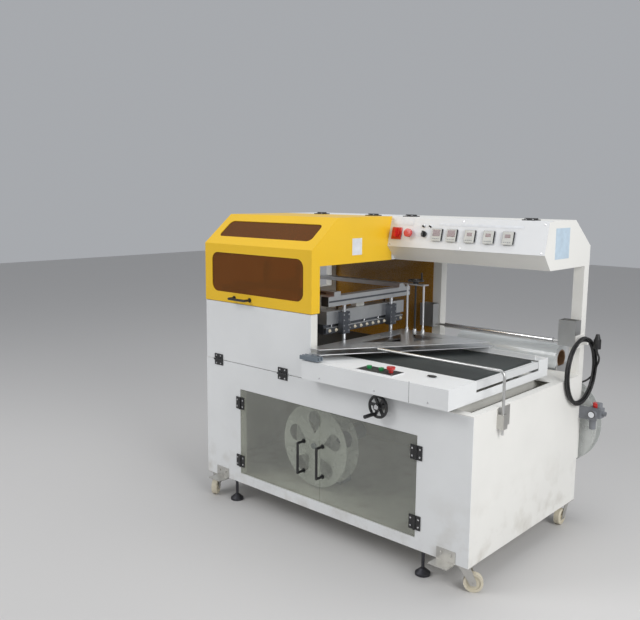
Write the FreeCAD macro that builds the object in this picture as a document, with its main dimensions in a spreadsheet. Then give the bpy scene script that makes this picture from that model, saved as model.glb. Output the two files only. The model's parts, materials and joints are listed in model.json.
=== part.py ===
"""L bar sealer: cabinet on casters, tilting hood over an L-shaped sealing jaw, lifting
infeed table with film-folding plates, film roll at the rear and a control console.

Frame, in millimetres: the origin is on the floor below the middle of the cabinet, +X
towards the infeed end, -Y towards the operator's front, +Z up.
"""
import FreeCAD, Part
import math
import os
import re

from FreeCAD import Placement, Rotation, Vector
import Sketcher

DIMENSIONS = (
    # cabinet
    ("cabinet_length", 1560, "cabinet, along X"),
    ("cabinet_depth", 950, "cabinet, along Y"),
    ("base_height", 112, "floor to the cabinet's underside"),
    ("deck_height", 720, "floor to the top of the deck"),
    ("skin", 3, "sheet metal"),
    ("tube", 40, "frame tube, outer side"),
    ("tube_wall", 2, "frame tube, wall"),
    ("window_width", 1055, "opening in the front panel"),
    ("window_bottom", 162, "lower edge of that opening"),
    ("window_height", 430, "height of that opening"),
    ("door_gap", 3, "gap round each hinged panel"),
    ("door_sheet", 6, "clear door sheet"),
    # tower and hood
    ("tower_length", 726, "tower and hood, along X"),
    ("tower_rise", 295, "deck to the lower edge of the hood's front"),
    ("hood_height", 422, "that edge to the top of hood and console"),
    ("bend_rise", 283, "that edge to where the front turns into the slope"),
    ("hood_slope", 172, "run of the slope, along Y"),
    ("side_rise", 210, "that edge to the lower edge of the hood's sides"),
    ("hood_leg", 54, "width of the leg beside the front window"),
    ("hood_depth", 575, "hood, front to hinge line"),
    ("pane_margin", 51, "hood panel beside a window"),
    ("pane_thickness", 4, "hood window"),
    # console
    ("console_end_inset", 15, "console's right end, inside the cabinet's end"),
    ("console_depth", 427, "hinge line to the console's back"),
    ("fascia_height", 143, "hinged fascia"),
    ("fascia_run", 34, "how far the fascia leans out at its lower edge"),
    ("column", 50, "console column, outer side"),
    # hinges
    ("knuckle_radius", 5, "hinge barrel"),
    ("pin_radius", 2.5, "hinge pin"),
    ("running_fit", 0.05, "radial clearance on pins and shafts"),
    ("play", 0.3, "gap between neighbouring moving surfaces"),
    ("hinge_height", 60, "hinge, along its pin"),
    ("hinge_leaf", 28, "hinge leaf, from the pin"),
    ("leaf_thickness", 4, "hinge leaf"),
    # table
    ("table_gap", 9, "tower to table"),
    ("table_end_gap", 70, "table's end, inside the cabinet's end"),
    ("table_overhang", 70, "table skirt in front of the cabinet"),
    ("table_width", 813, "table, along Y"),
    ("table_rise", 103, "deck to the table surface, table down"),
    ("skirt_height", 82, "table skirt"),
    ("belt_width", 497, "both conveyor belts"),
    ("belt_offset", 215, "table front to belt"),
    ("roller_radius", 14, "conveyor end roller"),
    ("belt_sheet", 2, "belt thickness"),
    # film path
    ("plate_sheet", 3, "film plates"),
    ("plate_rise", 23, "table to the lower film plate"),
    ("plate_gap", 20, "space between the film plates"),
    ("plate_length", 690, "film plates, along Y"),
    ("plate_reach", 500, "film plates, along X"),
    ("plate_leg", 80, "leg of the film plates"),
    ("plate_toe", 60, "front end of the film plates"),
    ("film_rod_radius", 5, "rods of the upper film plate"),
    ("film_rod_pitch", 48, "between those rods"),
    ("film_radius", 70, "film roll"),
    ("film_width", 550, "film roll, along X"),
    ("core_radius", 38, "film core's bore"),
    ("core_wall", 5, "film core's wall"),
    ("film_rise", 48, "deck to the film roll's axis"),
    ("film_setback", 62, "film roll's axis behind the cabinet"),
    ("cradle_radius", 15, "rollers under the film roll"),
    ("cradle_spread", 45, "half the distance between those rollers"),
    ("guide_radius", 13.5, "film guide roller"),
    ("guide_shaft", 6, "its shaft's radius"),
    # sealing jaw
    ("jaw_width", 60, "upper jaw beam"),
    ("jaw_height", 62, "upper jaw beam"),
    ("jaw_rise", 123, "lower jaw to the upper jaw's beam, jaw open"),
    ("jaw_length", 591, "upper jaw beam, along Y"),
    ("knife_height", 47, "knife bar below the beam"),
    ("knife_width", 22, "knife bar"),
    ("anvil_rise", 105, "deck to the top of the lower jaw"),
    ("guide_rod_radius", 9, "columns of the jaw"),
    ("profile", 45, "aluminium profile"),
    ("profile_rise", 29, "upper jaw's beam to the profiles"),
    # waste reel
    ("reel_radius", 200, "waste reel disc"),
    ("reel_gap", 80, "between the waste reel's discs"),
    ("reel_sheet", 4, "reel disc"),
    ("reel_shaft", 8, "waste reel shaft's radius"),
    ("reel_height", 365, "waste reel's axis"),
    ("rear_reel_radius", 222, "rear reel disc"),
    ("rear_reel_height", 455, "rear reel's axis"),
    # handwheels and buttons
    ("handwheel_radius", 50, "front handwheel"),
    ("handwheel_drop", 38, "deck to the front handwheel's axis"),
    ("film_wheel_radius", 40, "handwheel of the film plate"),
    ("button_radius", 11, "table push button"),
    ("stop_radius", 18, "emergency stop mushroom"),
    ("rod_radius", 6, "guard rod"),
    # running gear
    ("wheel_radius", 39, "caster wheel"),
    ("wheel_width", 28, "caster wheel"),
    ("caster_trail", 35, "caster axle behind its stem"),
    ("caster_inset_x", 35, "caster stem, inside the cabinet's end"),
    ("caster_inset_y", 35, "caster stem, inside the cabinet's front"),
    ("axle_radius", 4, "caster axle"),
    ("wheel_lift", 0.5, "caster wheels above the floor"),
    ("foot_radius", 32, "levelling foot"),
    ("foot_inset", 190, "levelling foot, inside the cabinet's end"),
    # cord
    ("cord_radius", 4.5, "power cord"),
    ("coil_radius", 150, "coil of the power cord"),
    ("coil_section", 12, "half the thickness of the coil"),
)

DERIVED = {
    "hood_bottom": "(deck_height + tower_rise)",
    "hood_top": "(hood_bottom + hood_height)",
    "hood_bend": "(hood_bottom + bend_rise)",
    "hood_side_bottom": "(hood_bottom + side_rise)",
    "console_bottom": "(hood_side_bottom + 1)",
    "fascia_bottom": "(hood_top - fascia_height)",
    "table_top": "(deck_height + table_rise)",
    "lower_plate_height": "(table_top + plate_rise)",
    "film_height": "(deck_height + film_rise)",
    "anvil_height": "(deck_height + anvil_rise)",
    "jaw_bottom": "(anvil_height + jaw_rise)",
    "profile_bottom": "(jaw_bottom + jaw_height + profile_rise)",
    "handwheel_height": "(deck_height - handwheel_drop)",
}

doc = FreeCAD.newDocument("l_bar_sealer")
sheet = doc.addObject("Spreadsheet::Sheet", "dims")
SIZES = {}
for row, (alias, size, meaning) in enumerate(DIMENSIONS, start=1):
    sheet.set("A%d" % row, meaning)
    sheet.set("B%d" % row, str(size))
    sheet.setAlias("B%d" % row, alias)
    SIZES[alias] = size
doc.recompute()

WORD = re.compile(r"[A-Za-z_]\w*")


def spelled(expression):
    """The expression with each derived size worked out down to driving dimensions."""
    shorter = ""
    longer = str(expression)
    while longer != shorter:
        shorter = longer
        longer = WORD.sub(lambda word: DERIVED.get(word[0], word[0]), shorter)
    return longer


def linked(expression):
    """The expression with each driving dimension's name pointing at its cell."""
    return WORD.sub(lambda word: "dims." + word[0] if word[0] in SIZES else word[0], spelled(expression))


def number(expression):
    """The expression's present value."""
    plain = WORD.sub(lambda word: repr(SIZES[word[0]]) if word[0] in SIZES else word[0], spelled(expression))
    return float(FreeCAD.Units.Quantity(plain).Value)


def bind(item, **sizes):
    for name, expression in sizes.items():
        item.setExpression(name, linked(expression))
    return item


def at(item, x=0, y=0, z=0):
    """Places an object at x, y, z and keeps its rotation."""
    for axis, expression in zip("xyz", (x, y, z)):
        item.setExpression("Placement.Base." + axis, linked(expression))
    return item


AXIS_TURN = {
    "x": Rotation(Vector(0, 1, 0), 90),
    "y": Rotation(Vector(1, 0, 0), -90),
    "z": Rotation(),
}
PARTS = []


def block(x, y, z, length, depth, height, name="Block"):
    item = bind(doc.addObject("Part::Box", name), Length=length, Width=depth, Height=height)
    return at(item, x, y, z)


def rod(axis, x, y, z, radius, length, name="Rod"):
    """A cylinder that starts at x, y, z and runs along +axis."""
    item = bind(doc.addObject("Part::Cylinder", name), Radius=radius, Height=length)
    item.Placement = Placement(Vector(), AXIS_TURN[axis])
    return at(item, x, y, z)


def cone(axis, x, y, z, radius, end_radius, length, name="Cone"):
    item = bind(doc.addObject("Part::Cone", name), Radius1=radius, Radius2=end_radius, Height=length)
    item.Placement = Placement(Vector(), AXIS_TURN[axis])
    return at(item, x, y, z)


def ring(axis, x, y, z, radius, section, name="Ring"):
    item = bind(doc.addObject("Part::Torus", name), Radius1=radius, Radius2=section)
    item.Placement = Placement(Vector(), AXIS_TURN[axis])
    return at(item, x, y, z)


def group(items, name="Group"):
    item = doc.addObject("Part::Compound", name)
    item.Links = items
    return item


def fuse(items, name="Fused"):
    item = doc.addObject("Part::MultiFuse", name)
    item.Shapes = items
    item.Refine = True
    return item


def cut(base, tools, name="Cut"):
    item = doc.addObject("Part::Cut", name)
    item.Base = base
    item.Tool = tools[0] if len(tools) == 1 else group(tools, name + "Tools")
    item.Refine = True
    return item


def rounded(item, edges, radius):
    """Rounds numbered edges of a box."""
    result = doc.addObject("Part::Fillet", item.Name + "Round")
    result.Base = item
    size = number(radius)
    result.Edges = [(edge, size, size) for edge in edges]
    return result


BOX_EDGES = {"z": (1, 3, 5, 7), "y": (2, 4, 6, 8), "x": (9, 10, 11, 12)}
PLANE_TURN = {
    "xy": Rotation(),
    "xz": Rotation(Vector(1, 0, 0), 90),
    "yz": Rotation(Vector(1, 1, 1), 120),
}


def outline(sketch, corners):
    """Closed polygon whose corners are held by driven distances."""
    count = len(corners)
    spots = [Vector(number(u), number(v), 0) for u, v in corners]
    for index in range(count):
        sketch.addGeometry(Part.LineSegment(spots[index], spots[(index + 1) % count]), False)
    base = sketch.GeometryCount - count
    for index in range(count):
        sketch.addConstraint(Sketcher.Constraint("Coincident", base + index, 2, base + (index + 1) % count,
                                                 1))
    for index, (u, v) in enumerate(corners):
        for kind, expression in (("DistanceX", u), ("DistanceY", v)):
            place = sketch.addConstraint(Sketcher.Constraint(kind, base + index, 1, number(expression)))
            sketch.setExpression("Constraints[%d]" % place, linked(expression))


def prism(plane, corners, start, length, name="Prism"):
    """A polygon in plane xy, xz or yz, pushed out along the third axis from start."""
    sketch = doc.addObject("Sketcher::SketchObject", name + "Sketch")
    sketch.Placement = Placement(Vector(), PLANE_TURN[plane])
    offset = {"xy": "z", "xz": "y", "yz": "x"}[plane]
    sketch.setExpression("Placement.Base." + offset, linked(start))
    outline(sketch, corners)
    item = doc.addObject("Part::Extrusion", name)
    item.Base = sketch
    item.DirMode = "Custom"
    item.Dir = {"xy": Vector(0, 0, 1), "xz": Vector(0, 1, 0), "yz": Vector(1, 0, 0)}[plane]
    item.Solid = True
    return bind(item, LengthFwd=length)


def square_tube(axis, x, y, z, length, side="tube", wall="tube_wall"):
    """A hollow square tube from x, y, z along an axis."""
    outer = dict.fromkeys("xyz", side)
    outer[axis] = length
    inner = dict.fromkeys("xyz", "%s - 2 * %s" % (side, wall))
    inner[axis] = length
    shift = dict.fromkeys("xyz", wall)
    shift[axis] = "0"
    hull = block(x, y, z, outer["x"], outer["y"], outer["z"], "Tube")
    bore = block("%s + %s" % (x, shift["x"]), "%s + %s" % (y, shift["y"]), "%s + %s" % (z, shift["z"]),
                 inner["x"], inner["y"], inner["z"], "TubeBore")
    return cut(hull, [bore], "HollowTube")


def keep(item, label):
    """Names a finished sub-part, which becomes a file of that name."""
    item.Label = label
    PARTS.append(item)
    return item


def body_sketch(body, role, name):
    """A sketch on one of the body's own origin planes."""
    sketch = body.newObject("Sketcher::SketchObject", name)
    planes = [feature for feature in body.Origin.OriginFeatures if feature.Role == role]
    sketch.AttachmentSupport = [(planes[0], "")]
    sketch.MapMode = "FlatFace"
    return sketch


# Places that many sub-parts share
LEFT = "(-cabinet_length / 2)"
RIGHT = "(cabinet_length / 2)"
FRONT = "(-cabinet_depth / 2)"
REAR = "(cabinet_depth / 2)"
TOWER_RIGHT = "(-cabinet_length / 2 + tower_length)"
INNER_LEFT = "(-cabinet_length / 2 + skin)"
INNER_RIGHT = "(cabinet_length / 2 - skin)"
INNER_FRONT = "(-cabinet_depth / 2 + skin)"
INNER_REAR = "(cabinet_depth / 2 - skin)"
DECK_UNDER = "(deck_height - skin)"
WINDOW_LEFT = "(-window_width / 2)"
HINGE_LINE = "(-cabinet_depth / 2 + hood_depth)"
TABLE_LEFT = "(%s + table_gap)" % TOWER_RIGHT
TABLE_RIGHT = "(cabinet_length / 2 - table_end_gap)"
TABLE_FRONT = "(-cabinet_depth / 2 - table_overhang)"
TABLE_REAR = "(%s + table_width)" % TABLE_FRONT
SKIRT_BOTTOM = "(table_top - skirt_height)"
BELT_FRONT = "(%s + belt_offset)" % TABLE_FRONT
BELT_REAR = "(%s + belt_width)" % BELT_FRONT
CONSOLE_RIGHT = "(cabinet_length / 2 - console_end_inset)"
CONSOLE_REAR = "(%s + console_depth)" % HINGE_LINE
BARREL = "(knuckle_radius + play)"


# ---------------------------------------------------------------- cabinet
CROSS_RAIL = "(%s - skin - tube)" % TOWER_RIGHT
FAR_RAIL = "(%s + 2 * tube)" % INNER_LEFT
LEG_X = ("(%s + 110)" % TABLE_LEFT, "(%s - 110)" % TABLE_RIGHT)
LEG_Y = ("(%s + 30)" % BELT_FRONT, "(%s - 30)" % BELT_REAR)
GUIDE_SIDE = 40
LEG_RADIUS = 10


def base_frame():
    top_rail = "(%s - tube)" % DECK_UNDER
    ends_x = (INNER_LEFT, "(%s - tube)" % INNER_RIGHT)
    ends_y = (INNER_FRONT, "(%s - tube)" % INNER_REAR)
    inside_y = "(%s + tube)" % INNER_FRONT
    side_run = "cabinet_depth - 2 * skin - 2 * tube"
    tubes = []
    for z in ("base_height", top_rail):
        for y in ends_y:
            tubes.append(square_tube("x", INNER_LEFT, y, z, "cabinet_length - 2 * skin"))
        for x in ends_x:
            tubes.append(square_tube("y", x, inside_y, z, side_run))
    post_bottom = "(base_height + tube)"
    post_height = "%s - tube - %s" % (DECK_UNDER, post_bottom)
    for x in ends_x:
        for y in ends_y:
            tubes.append(square_tube("z", x, y, post_bottom, post_height))
    for x in ("(%s - tube - door_gap)" % WINDOW_LEFT, "(window_width / 2 + door_gap)"):
        tubes.append(square_tube("z", x, INNER_FRONT, post_bottom, post_height))
    rails = [CROSS_RAIL, FAR_RAIL] + ["(%s + %d)" % (x, GUIDE_SIDE / 2) for x in LEG_X]
    for x in rails:
        tubes.append(square_tube("y", x, inside_y, top_rail, side_run))
    # tower
    tower_top = "(hood_bottom - skin)"
    for x in (INNER_LEFT, CROSS_RAIL):
        tubes.append(square_tube("z", x, INNER_FRONT, DECK_UNDER, "%s - %s" % (tower_top, DECK_UNDER)))
    tubes.append(square_tube("z", INNER_LEFT, ends_y[1], DECK_UNDER, "console_bottom - " + DECK_UNDER))
    tubes.append(square_tube("y", INNER_LEFT, inside_y, "(%s - tube)" % tower_top, side_run))
    tubes.append(square_tube("x", "(%s + tube)" % INNER_LEFT, INNER_FRONT, "(%s - tube)" % tower_top,
                             "%s - %s - tube" % (CROSS_RAIL, INNER_LEFT)))
    # sleeves that guide the table's four legs
    for x in LEG_X:
        for y in LEG_Y:
            sleeve = block("(%s - %d / 2)" % (x, GUIDE_SIDE), "(%s - %d / 2)" % (y, GUIDE_SIDE), top_rail,
                           GUIDE_SIDE, GUIDE_SIDE, "tube")
            bore = rod("z", x, y, "%s - 1" % top_rail, "%d + running_fit" % LEG_RADIUS, "tube + 2")
            tubes.append(cut(sleeve, [bore]))
    return keep(group(tubes), "base_frame")


def front_panel():
    body = doc.addObject("PartDesign::Body", "FrontPanel")
    sketch = body_sketch(body, "XZ_Plane", "PanelOutline")
    outline(sketch, [(LEFT, "base_height"), (RIGHT, "base_height"), (RIGHT, DECK_UNDER), (LEFT, DECK_UNDER)])
    window_top = "(window_bottom + window_height)"
    outline(sketch, [(WINDOW_LEFT, "window_bottom"), ("(window_width / 2)", "window_bottom"),
                     ("(window_width / 2)", window_top), (WINDOW_LEFT, window_top)])
    pad = body.newObject("PartDesign::Pad", "PanelSheet")
    pad.Profile = sketch
    bind(pad, Length="skin")
    at(body, 0, INNER_FRONT, 0)
    return keep(body, "front_panel")


def side_panels():
    outlet_bottom = "(table_top - 45)"
    outlet_top = "(hood_bottom - skin - tube - 5)"
    left = cut(block(LEFT, INNER_FRONT, "base_height", "skin", "cabinet_depth - skin",
                     "hood_bottom - 1 - base_height"),
               [block("(%s - 1)" % LEFT, "(%s - 20)" % BELT_FRONT, outlet_bottom, "skin + 2",
                      "belt_width + 40",
                      "%s - %s" % (outlet_top, outlet_bottom))])
    height = "%s - base_height" % DECK_UNDER
    right = block(INNER_RIGHT, INNER_FRONT, "base_height", "skin", "cabinet_depth - skin", height)
    rear = block(INNER_LEFT, INNER_REAR, "base_height", "cabinet_length - 2 * skin", "skin", height)
    tray = block("(%s + tube)" % INNER_LEFT, "(%s + tube)" % INNER_FRONT, "(base_height + tube - skin)",
                 "cabinet_length - 2 * skin - 2 * tube", "cabinet_depth - 2 * skin - 2 * tube", "skin")
    return keep(group([left, right, rear, tray]), "side_panels")


def rear_guard():
    sheet_item = block(INNER_LEFT, INNER_REAR, DECK_UNDER, "tower_length - skin", "skin",
                       "console_bottom - " + DECK_UNDER)
    return keep(sheet_item, "rear_guard")


def deck_plate():
    plate = block(TOWER_RIGHT, FRONT, DECK_UNDER, "cabinet_length - tower_length", "cabinet_depth", "skin")
    opening_left = "(%s + 60)" % TABLE_LEFT
    opening_front = "(%s + 45)" % FRONT
    opening = block(opening_left, opening_front, "(%s - 1)" % DECK_UNDER,
                    "cabinet_length / 2 - 35 - " + opening_left,
                    "%s + 70 - %s" % (BELT_REAR, opening_front), "skin + 2")
    return keep(cut(plate, [opening]), "deck_plate")


# ---------------------------------------------------------------- hinges
HINGE_FIXED = []


def hinge(x, y, z, toward, inward):
    """A butt hinge whose pin passes through x, y, z. The moving leaf points toward its
    panel and both leaves lie on the surface behind the pin, in the inward direction."""
    turn = Rotation(toward, inward, toward.cross(inward), "XYZ")
    half = "(hinge_height / 2)"
    third = "(hinge_height / 6)"
    back = "(%s - leaf_thickness)" % BARREL
    reach = "(hinge_leaf - %s)" % BARREL
    fixed = [block("(-hinge_leaf)", back, "(-%s)" % half, reach, "leaf_thickness", "hinge_height"),
             rod("z", 0, 0, "(-%s)" % half, "pin_radius", "hinge_height")]
    for low in ("(-%s)" % half, third):
        fixed.append(block("(-%s)" % BARREL, back, low, BARREL, "leaf_thickness", "hinge_height / 3"))
        fixed.append(rod("z", 0, 0, low, "knuckle_radius", "hinge_height / 3"))
    low = "(-%s + play)" % third
    middle = "hinge_height / 3 - 2 * play"
    leaf = fuse([block(BARREL, back, "(-%s)" % half, reach, "leaf_thickness", "hinge_height"),
                 block(0, back, low, BARREL, "leaf_thickness", middle),
                 rod("z", 0, 0, low, "knuckle_radius", middle)])
    moving = cut(leaf, [rod("z", 0, 0, "(-%s)" % half, "pin_radius + running_fit", "hinge_height")])
    halves = [fuse(fixed), moving]
    for item in halves:
        item.Placement = Placement(Vector(), turn)
        at(item, x, y, z)
    HINGE_FIXED.append(halves[0])
    return halves[1]


def bow_handle(x, y, z, along, length, reach, radius):
    """A bow handle in front of the plane y. Its bar runs along x or z from x, y, z."""
    front = "(%s - %s)" % (y, reach)
    end = {"x": ("(%s + %s)" % (x, length), z), "z": (x, "(%s + %s)" % (z, length))}[along]
    pieces = [rod(along, x, front, z, radius, length)]
    for foot_x, foot_z in ((x, z), end):
        pieces.append(rod("y", foot_x, front, foot_z, radius, reach))
        pieces.append(rod("y", foot_x, "(%s - 3)" % y, foot_z, "%s * 1.8" % radius, "3"))
        corner = bind(doc.addObject("Part::Sphere", "Corner"), Radius=radius)
        pieces.append(at(corner, foot_x, front, foot_z))
    return fuse(pieces)


X_AXIS = Vector(1, 0, 0)
Y_AXIS = Vector(0, 1, 0)
Z_AXIS = Vector(0, 0, 1)
HINGE_FRONT = "(%s - %s)" % (FRONT, BARREL)
HANDLE_RADIUS = 6


def doors():
    """Clear doors of the cabinet, with their hinges and handles."""
    width = "window_width / 2 - door_gap - door_gap / 2"
    bottom = "(window_bottom + door_gap)"
    height = "window_height - 2 * door_gap"
    handle_bottom = "(window_bottom + 125)"
    sides = (
        ("left", "(%s + door_gap)" % WINDOW_LEFT, "(%s + door_gap / 2)" % WINDOW_LEFT, X_AXIS, -95),
        ("right", "(door_gap / 2)", "(window_width / 2 - door_gap / 2)", -X_AXIS, 20),
    )
    for side, left, pin, toward, handle_x in sides:
        keep(block(left, FRONT, bottom, width, "door_sheet", height), side + "_door")
        fittings = [bow_handle(str(handle_x), FRONT, handle_bottom, "z", "140", "42", HANDLE_RADIUS)]
        for level in ("(window_bottom + 65)", "(window_bottom + window_height - 70)"):
            fittings.append(hinge(pin, HINGE_FRONT, level, toward, Y_AXIS))
        keep(group(fittings), side + "_door_fittings")


def access_door():
    left = "(%s + door_gap)" % LEFT
    bottom = "(%s + door_gap)" % DECK_UNDER
    sheet_item = block(left, FRONT, bottom, "tower_length - 2 * door_gap", "skin",
                       "hood_bottom - 2 * door_gap - " + DECK_UNDER)
    keep(sheet_item, "access_door")
    leaves = []
    for x in ("(%s + 97)" % LEFT, "(%s - 177)" % TOWER_RIGHT):
        leaves.append(hinge(x, HINGE_FRONT, "(%s + door_gap / 2)" % DECK_UNDER, Z_AXIS, Y_AXIS))
    keep(group(leaves), "access_door_hinges")


# ---------------------------------------------------------------- hood
SLOPE_ANGLE = math.degrees(math.atan2(number("hood_top - hood_bend"), number("hood_slope")))
SLOPE_LENGTH = "sqrt(hood_slope * hood_slope + (hood_top - hood_bend) * (hood_top - hood_bend))"
SLOPE_WINDOW = (0.25, 0.77)
SLOPE_SINE = math.sin(math.radians(SLOPE_ANGLE))
SLOPE_COSINE = math.cos(math.radians(SLOPE_ANGLE))


def on_slope(x, share, depth, width, run, thickness):
    """A slab parallel to the hood's slope, its underside a depth below the surface."""
    item = bind(doc.addObject("Part::Box", "SlopeSlab"), Length=width, Width=run, Height=thickness)
    item.Placement = Placement(Vector(), Rotation(X_AXIS, SLOPE_ANGLE))
    return at(item, x, "%s + %s * hood_slope + %.4f * (%s)" % (FRONT, share, SLOPE_SINE, depth),
              "hood_bend + %s * (hood_top - hood_bend) - %.4f * (%s)" % (share, SLOPE_COSINE, depth))


def hood():
    shell = prism("yz", [
        (FRONT, "hood_bottom"), (FRONT, "hood_bend"), ("%s + hood_slope" % FRONT, "hood_top"),
        (HINGE_LINE, "hood_top"), (HINGE_LINE, "hood_side_bottom"), ("%s + hood_leg" % FRONT,
                                                                     "hood_side_bottom"),
        ("%s + hood_leg" % FRONT, "hood_bottom")], LEFT, "tower_length", "HoodShell")
    room = prism("yz", [
        ("%s + skin" % FRONT, "hood_bottom - 10"), ("%s + skin" % FRONT, "hood_bend - 0.48 * skin"),
        ("%s + hood_slope + 0.35 * skin" % FRONT, "hood_top - skin"), ("%s + 10" % HINGE_LINE,
                                                                       "hood_top - skin"),
        ("%s + 10" % HINGE_LINE, "hood_bottom - 10")], INNER_LEFT, "tower_length - 2 * skin", "HoodRoom")
    pane_left = "(%s + pane_margin)" % LEFT
    pane_width = "tower_length - 2 * pane_margin"
    pane_bottom = "(hood_bottom + 49)"
    pane_height = "hood_bend - 42 - " + pane_bottom
    window = rounded(block(pane_left, "(%s - 1)" % FRONT, pane_bottom, pane_width, "skin + 2", pane_height),
                     BOX_EDGES["y"], "0.8 * pane_margin")
    low, high = SLOPE_WINDOW
    run = "(%s) * %s" % (high - low, SLOPE_LENGTH)
    slope_window = rounded(on_slope(pane_left, low, "skin + 5", pane_width, run, "skin + 10"),
                           BOX_EDGES["z"], "0.5 * pane_margin")
    keep(cut(shell, [room, window, slope_window]), "hood_shell")

    lap = 12
    front_pane = block("(%s - %d)" % (pane_left, lap), "(%s + skin)" % FRONT, "(%s - %d)" % (pane_bottom,
                                                                                             lap),
                       "%s + 2 * %d" % (pane_width, lap), "pane_thickness", "%s + 2 * %d" % (pane_height,
                                                                                             lap))
    slope_pane = on_slope("(%s - %d)" % (pane_left, lap), low - 0.05, "skin + pane_thickness + 0.2",
                          "%s + 2 * %d" % (pane_width, lap), "(%s) * %s" % (high - low + 0.1, SLOPE_LENGTH),
                          "pane_thickness")
    keep(group([front_pane, slope_pane]), "hood_windows")

    handle = bow_handle("(%s + 215)" % LEFT, FRONT, "(hood_bottom + 24)", "x", "110", "36", HANDLE_RADIUS)
    fittings = [handle]
    for x in ("(%s + 261)" % LEFT, "(%s - 118)" % TOWER_RIGHT):
        fittings.append(hinge(x, "(%s + door_gap / 2)" % HINGE_LINE, "(hood_top + %s)" % BARREL,
                              -Y_AXIS, -Z_AXIS))
    keep(group(fittings), "hood_fittings")


# ---------------------------------------------------------------- console
FLANGE = 32
BACK_RUN = 169
BACK_DROP = 120
LEAN_ANGLE = math.degrees(math.atan2(number("fascia_run"), number("hood_top - fascia_bottom")))
HOUSING_TOP = "(%s + %d + door_gap)" % (HINGE_LINE, FLANGE)
BACK_PROFILE = [(CONSOLE_REAR, "console_bottom"), (CONSOLE_REAR, "hood_top - %d" % BACK_DROP),
                ("%s - %d" % (CONSOLE_REAR, BACK_RUN), "hood_top")]
BACK_ROOM = [("%s - skin" % CONSOLE_REAR, "console_bottom + skin"),
             ("%s - skin" % CONSOLE_REAR, "hood_top - %d - 0.5 * skin" % BACK_DROP),
             ("%s - %d - 0.5 * skin" % (CONSOLE_REAR, BACK_RUN), "hood_top - skin")]


def rear_housing():
    front = "%s + door_gap" % HINGE_LINE
    shell = prism("yz", [(front, "hood_top"), (front, "console_bottom")] + BACK_PROFILE, LEFT, "tower_length",
                  "RearHousing")
    inside = "%s + skin" % front
    room = prism("yz", [(inside, "hood_top - skin"), (inside, "console_bottom + skin")] + BACK_ROOM,
                 INNER_LEFT, "tower_length - 2 * skin", "RearRoom")
    rim = 60
    opening = block("(%s + %d)" % (LEFT, rim), "(%s + %d)" % (front, rim), "(console_bottom - 1)",
                    "tower_length - 2 * %d" % rim, "console_depth - door_gap - 2 * %d" % rim, "skin + 2")
    return keep(cut(shell, [room, opening]), "rear_housing")


def console_housing():
    front_low = "%s - fascia_run + skin + play" % HINGE_LINE
    lip = "hood_top - skin - play"
    length = "%s - %s" % (CONSOLE_RIGHT, TOWER_RIGHT)
    shell = prism("yz", [
        (HOUSING_TOP, "hood_top"), (HOUSING_TOP, lip), ("%s + skin + play" % HINGE_LINE, lip),
        (front_low, "fascia_bottom"), ("%s + 59" % front_low, "console_bottom")] + BACK_PROFILE,
        TOWER_RIGHT, length, "ConsoleShell")
    far_front = "%s - 60" % HINGE_LINE
    room = prism("yz", [
        (far_front, "hood_top - skin"), (far_front, "fascia_bottom"), ("%s + 5" % front_low, "fascia_bottom"),
        ("%s + 61" % front_low, "console_bottom + skin")] + BACK_ROOM,
        "%s + skin" % TOWER_RIGHT, "%s - 2 * skin" % length, "ConsoleRoom")
    return keep(cut(shell, [room]), "console_housing")


def console_columns():
    """Two columns bolted to the cabinet's rear, and the hook that carries the cord's coil."""
    foot = "(base_height + 190)"
    columns = []
    for x in (TOWER_RIGHT, "(%s - column)" % CONSOLE_RIGHT):
        columns.append(square_tube("z", x, REAR, foot, "console_bottom - " + foot, "column", "skin"))
    hook_start = CONSOLE_RIGHT
    columns.append(rod("x", hook_start, COIL_Y, HOOK_Z, HOOK_RADIUS, "%s + 22 - %s" % (COIL_X, hook_start)))
    columns.append(rod("y", *GLAND, 9, GLAND_LENGTH))
    columns.append(block(hook_start, "(%s - 20)" % COIL_Y, "(%s - 30)" % HOOK_Z, "4", "95", "60"))
    return keep(group(columns), "console_columns")


def on_fascia(item, x, share, out):
    """Places an item so that its local -Y stands out from the fascia at a share of its height."""
    lean = math.radians(LEAN_ANGLE)
    item.Placement = Placement(Vector(), Rotation(X_AXIS, -LEAN_ANGLE) * item.Placement.Rotation)
    return at(item, x, "%s - fascia_run * (1 - %s) - %.4f * (%s)" % (HINGE_LINE, share, math.cos(lean), out),
              "fascia_bottom + %s * (hood_top - fascia_bottom) + %.4f * (%s)" % (share, math.sin(lean), out))


METER = 46
METER_X = (255, 335, 430, 525, 620)
CONTROL_SHARE = 0.45
CONTROL_X = {"main_switch": 46, "console_stop": 123, "selector_knob": 204}
SPINDLE = 9


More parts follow.
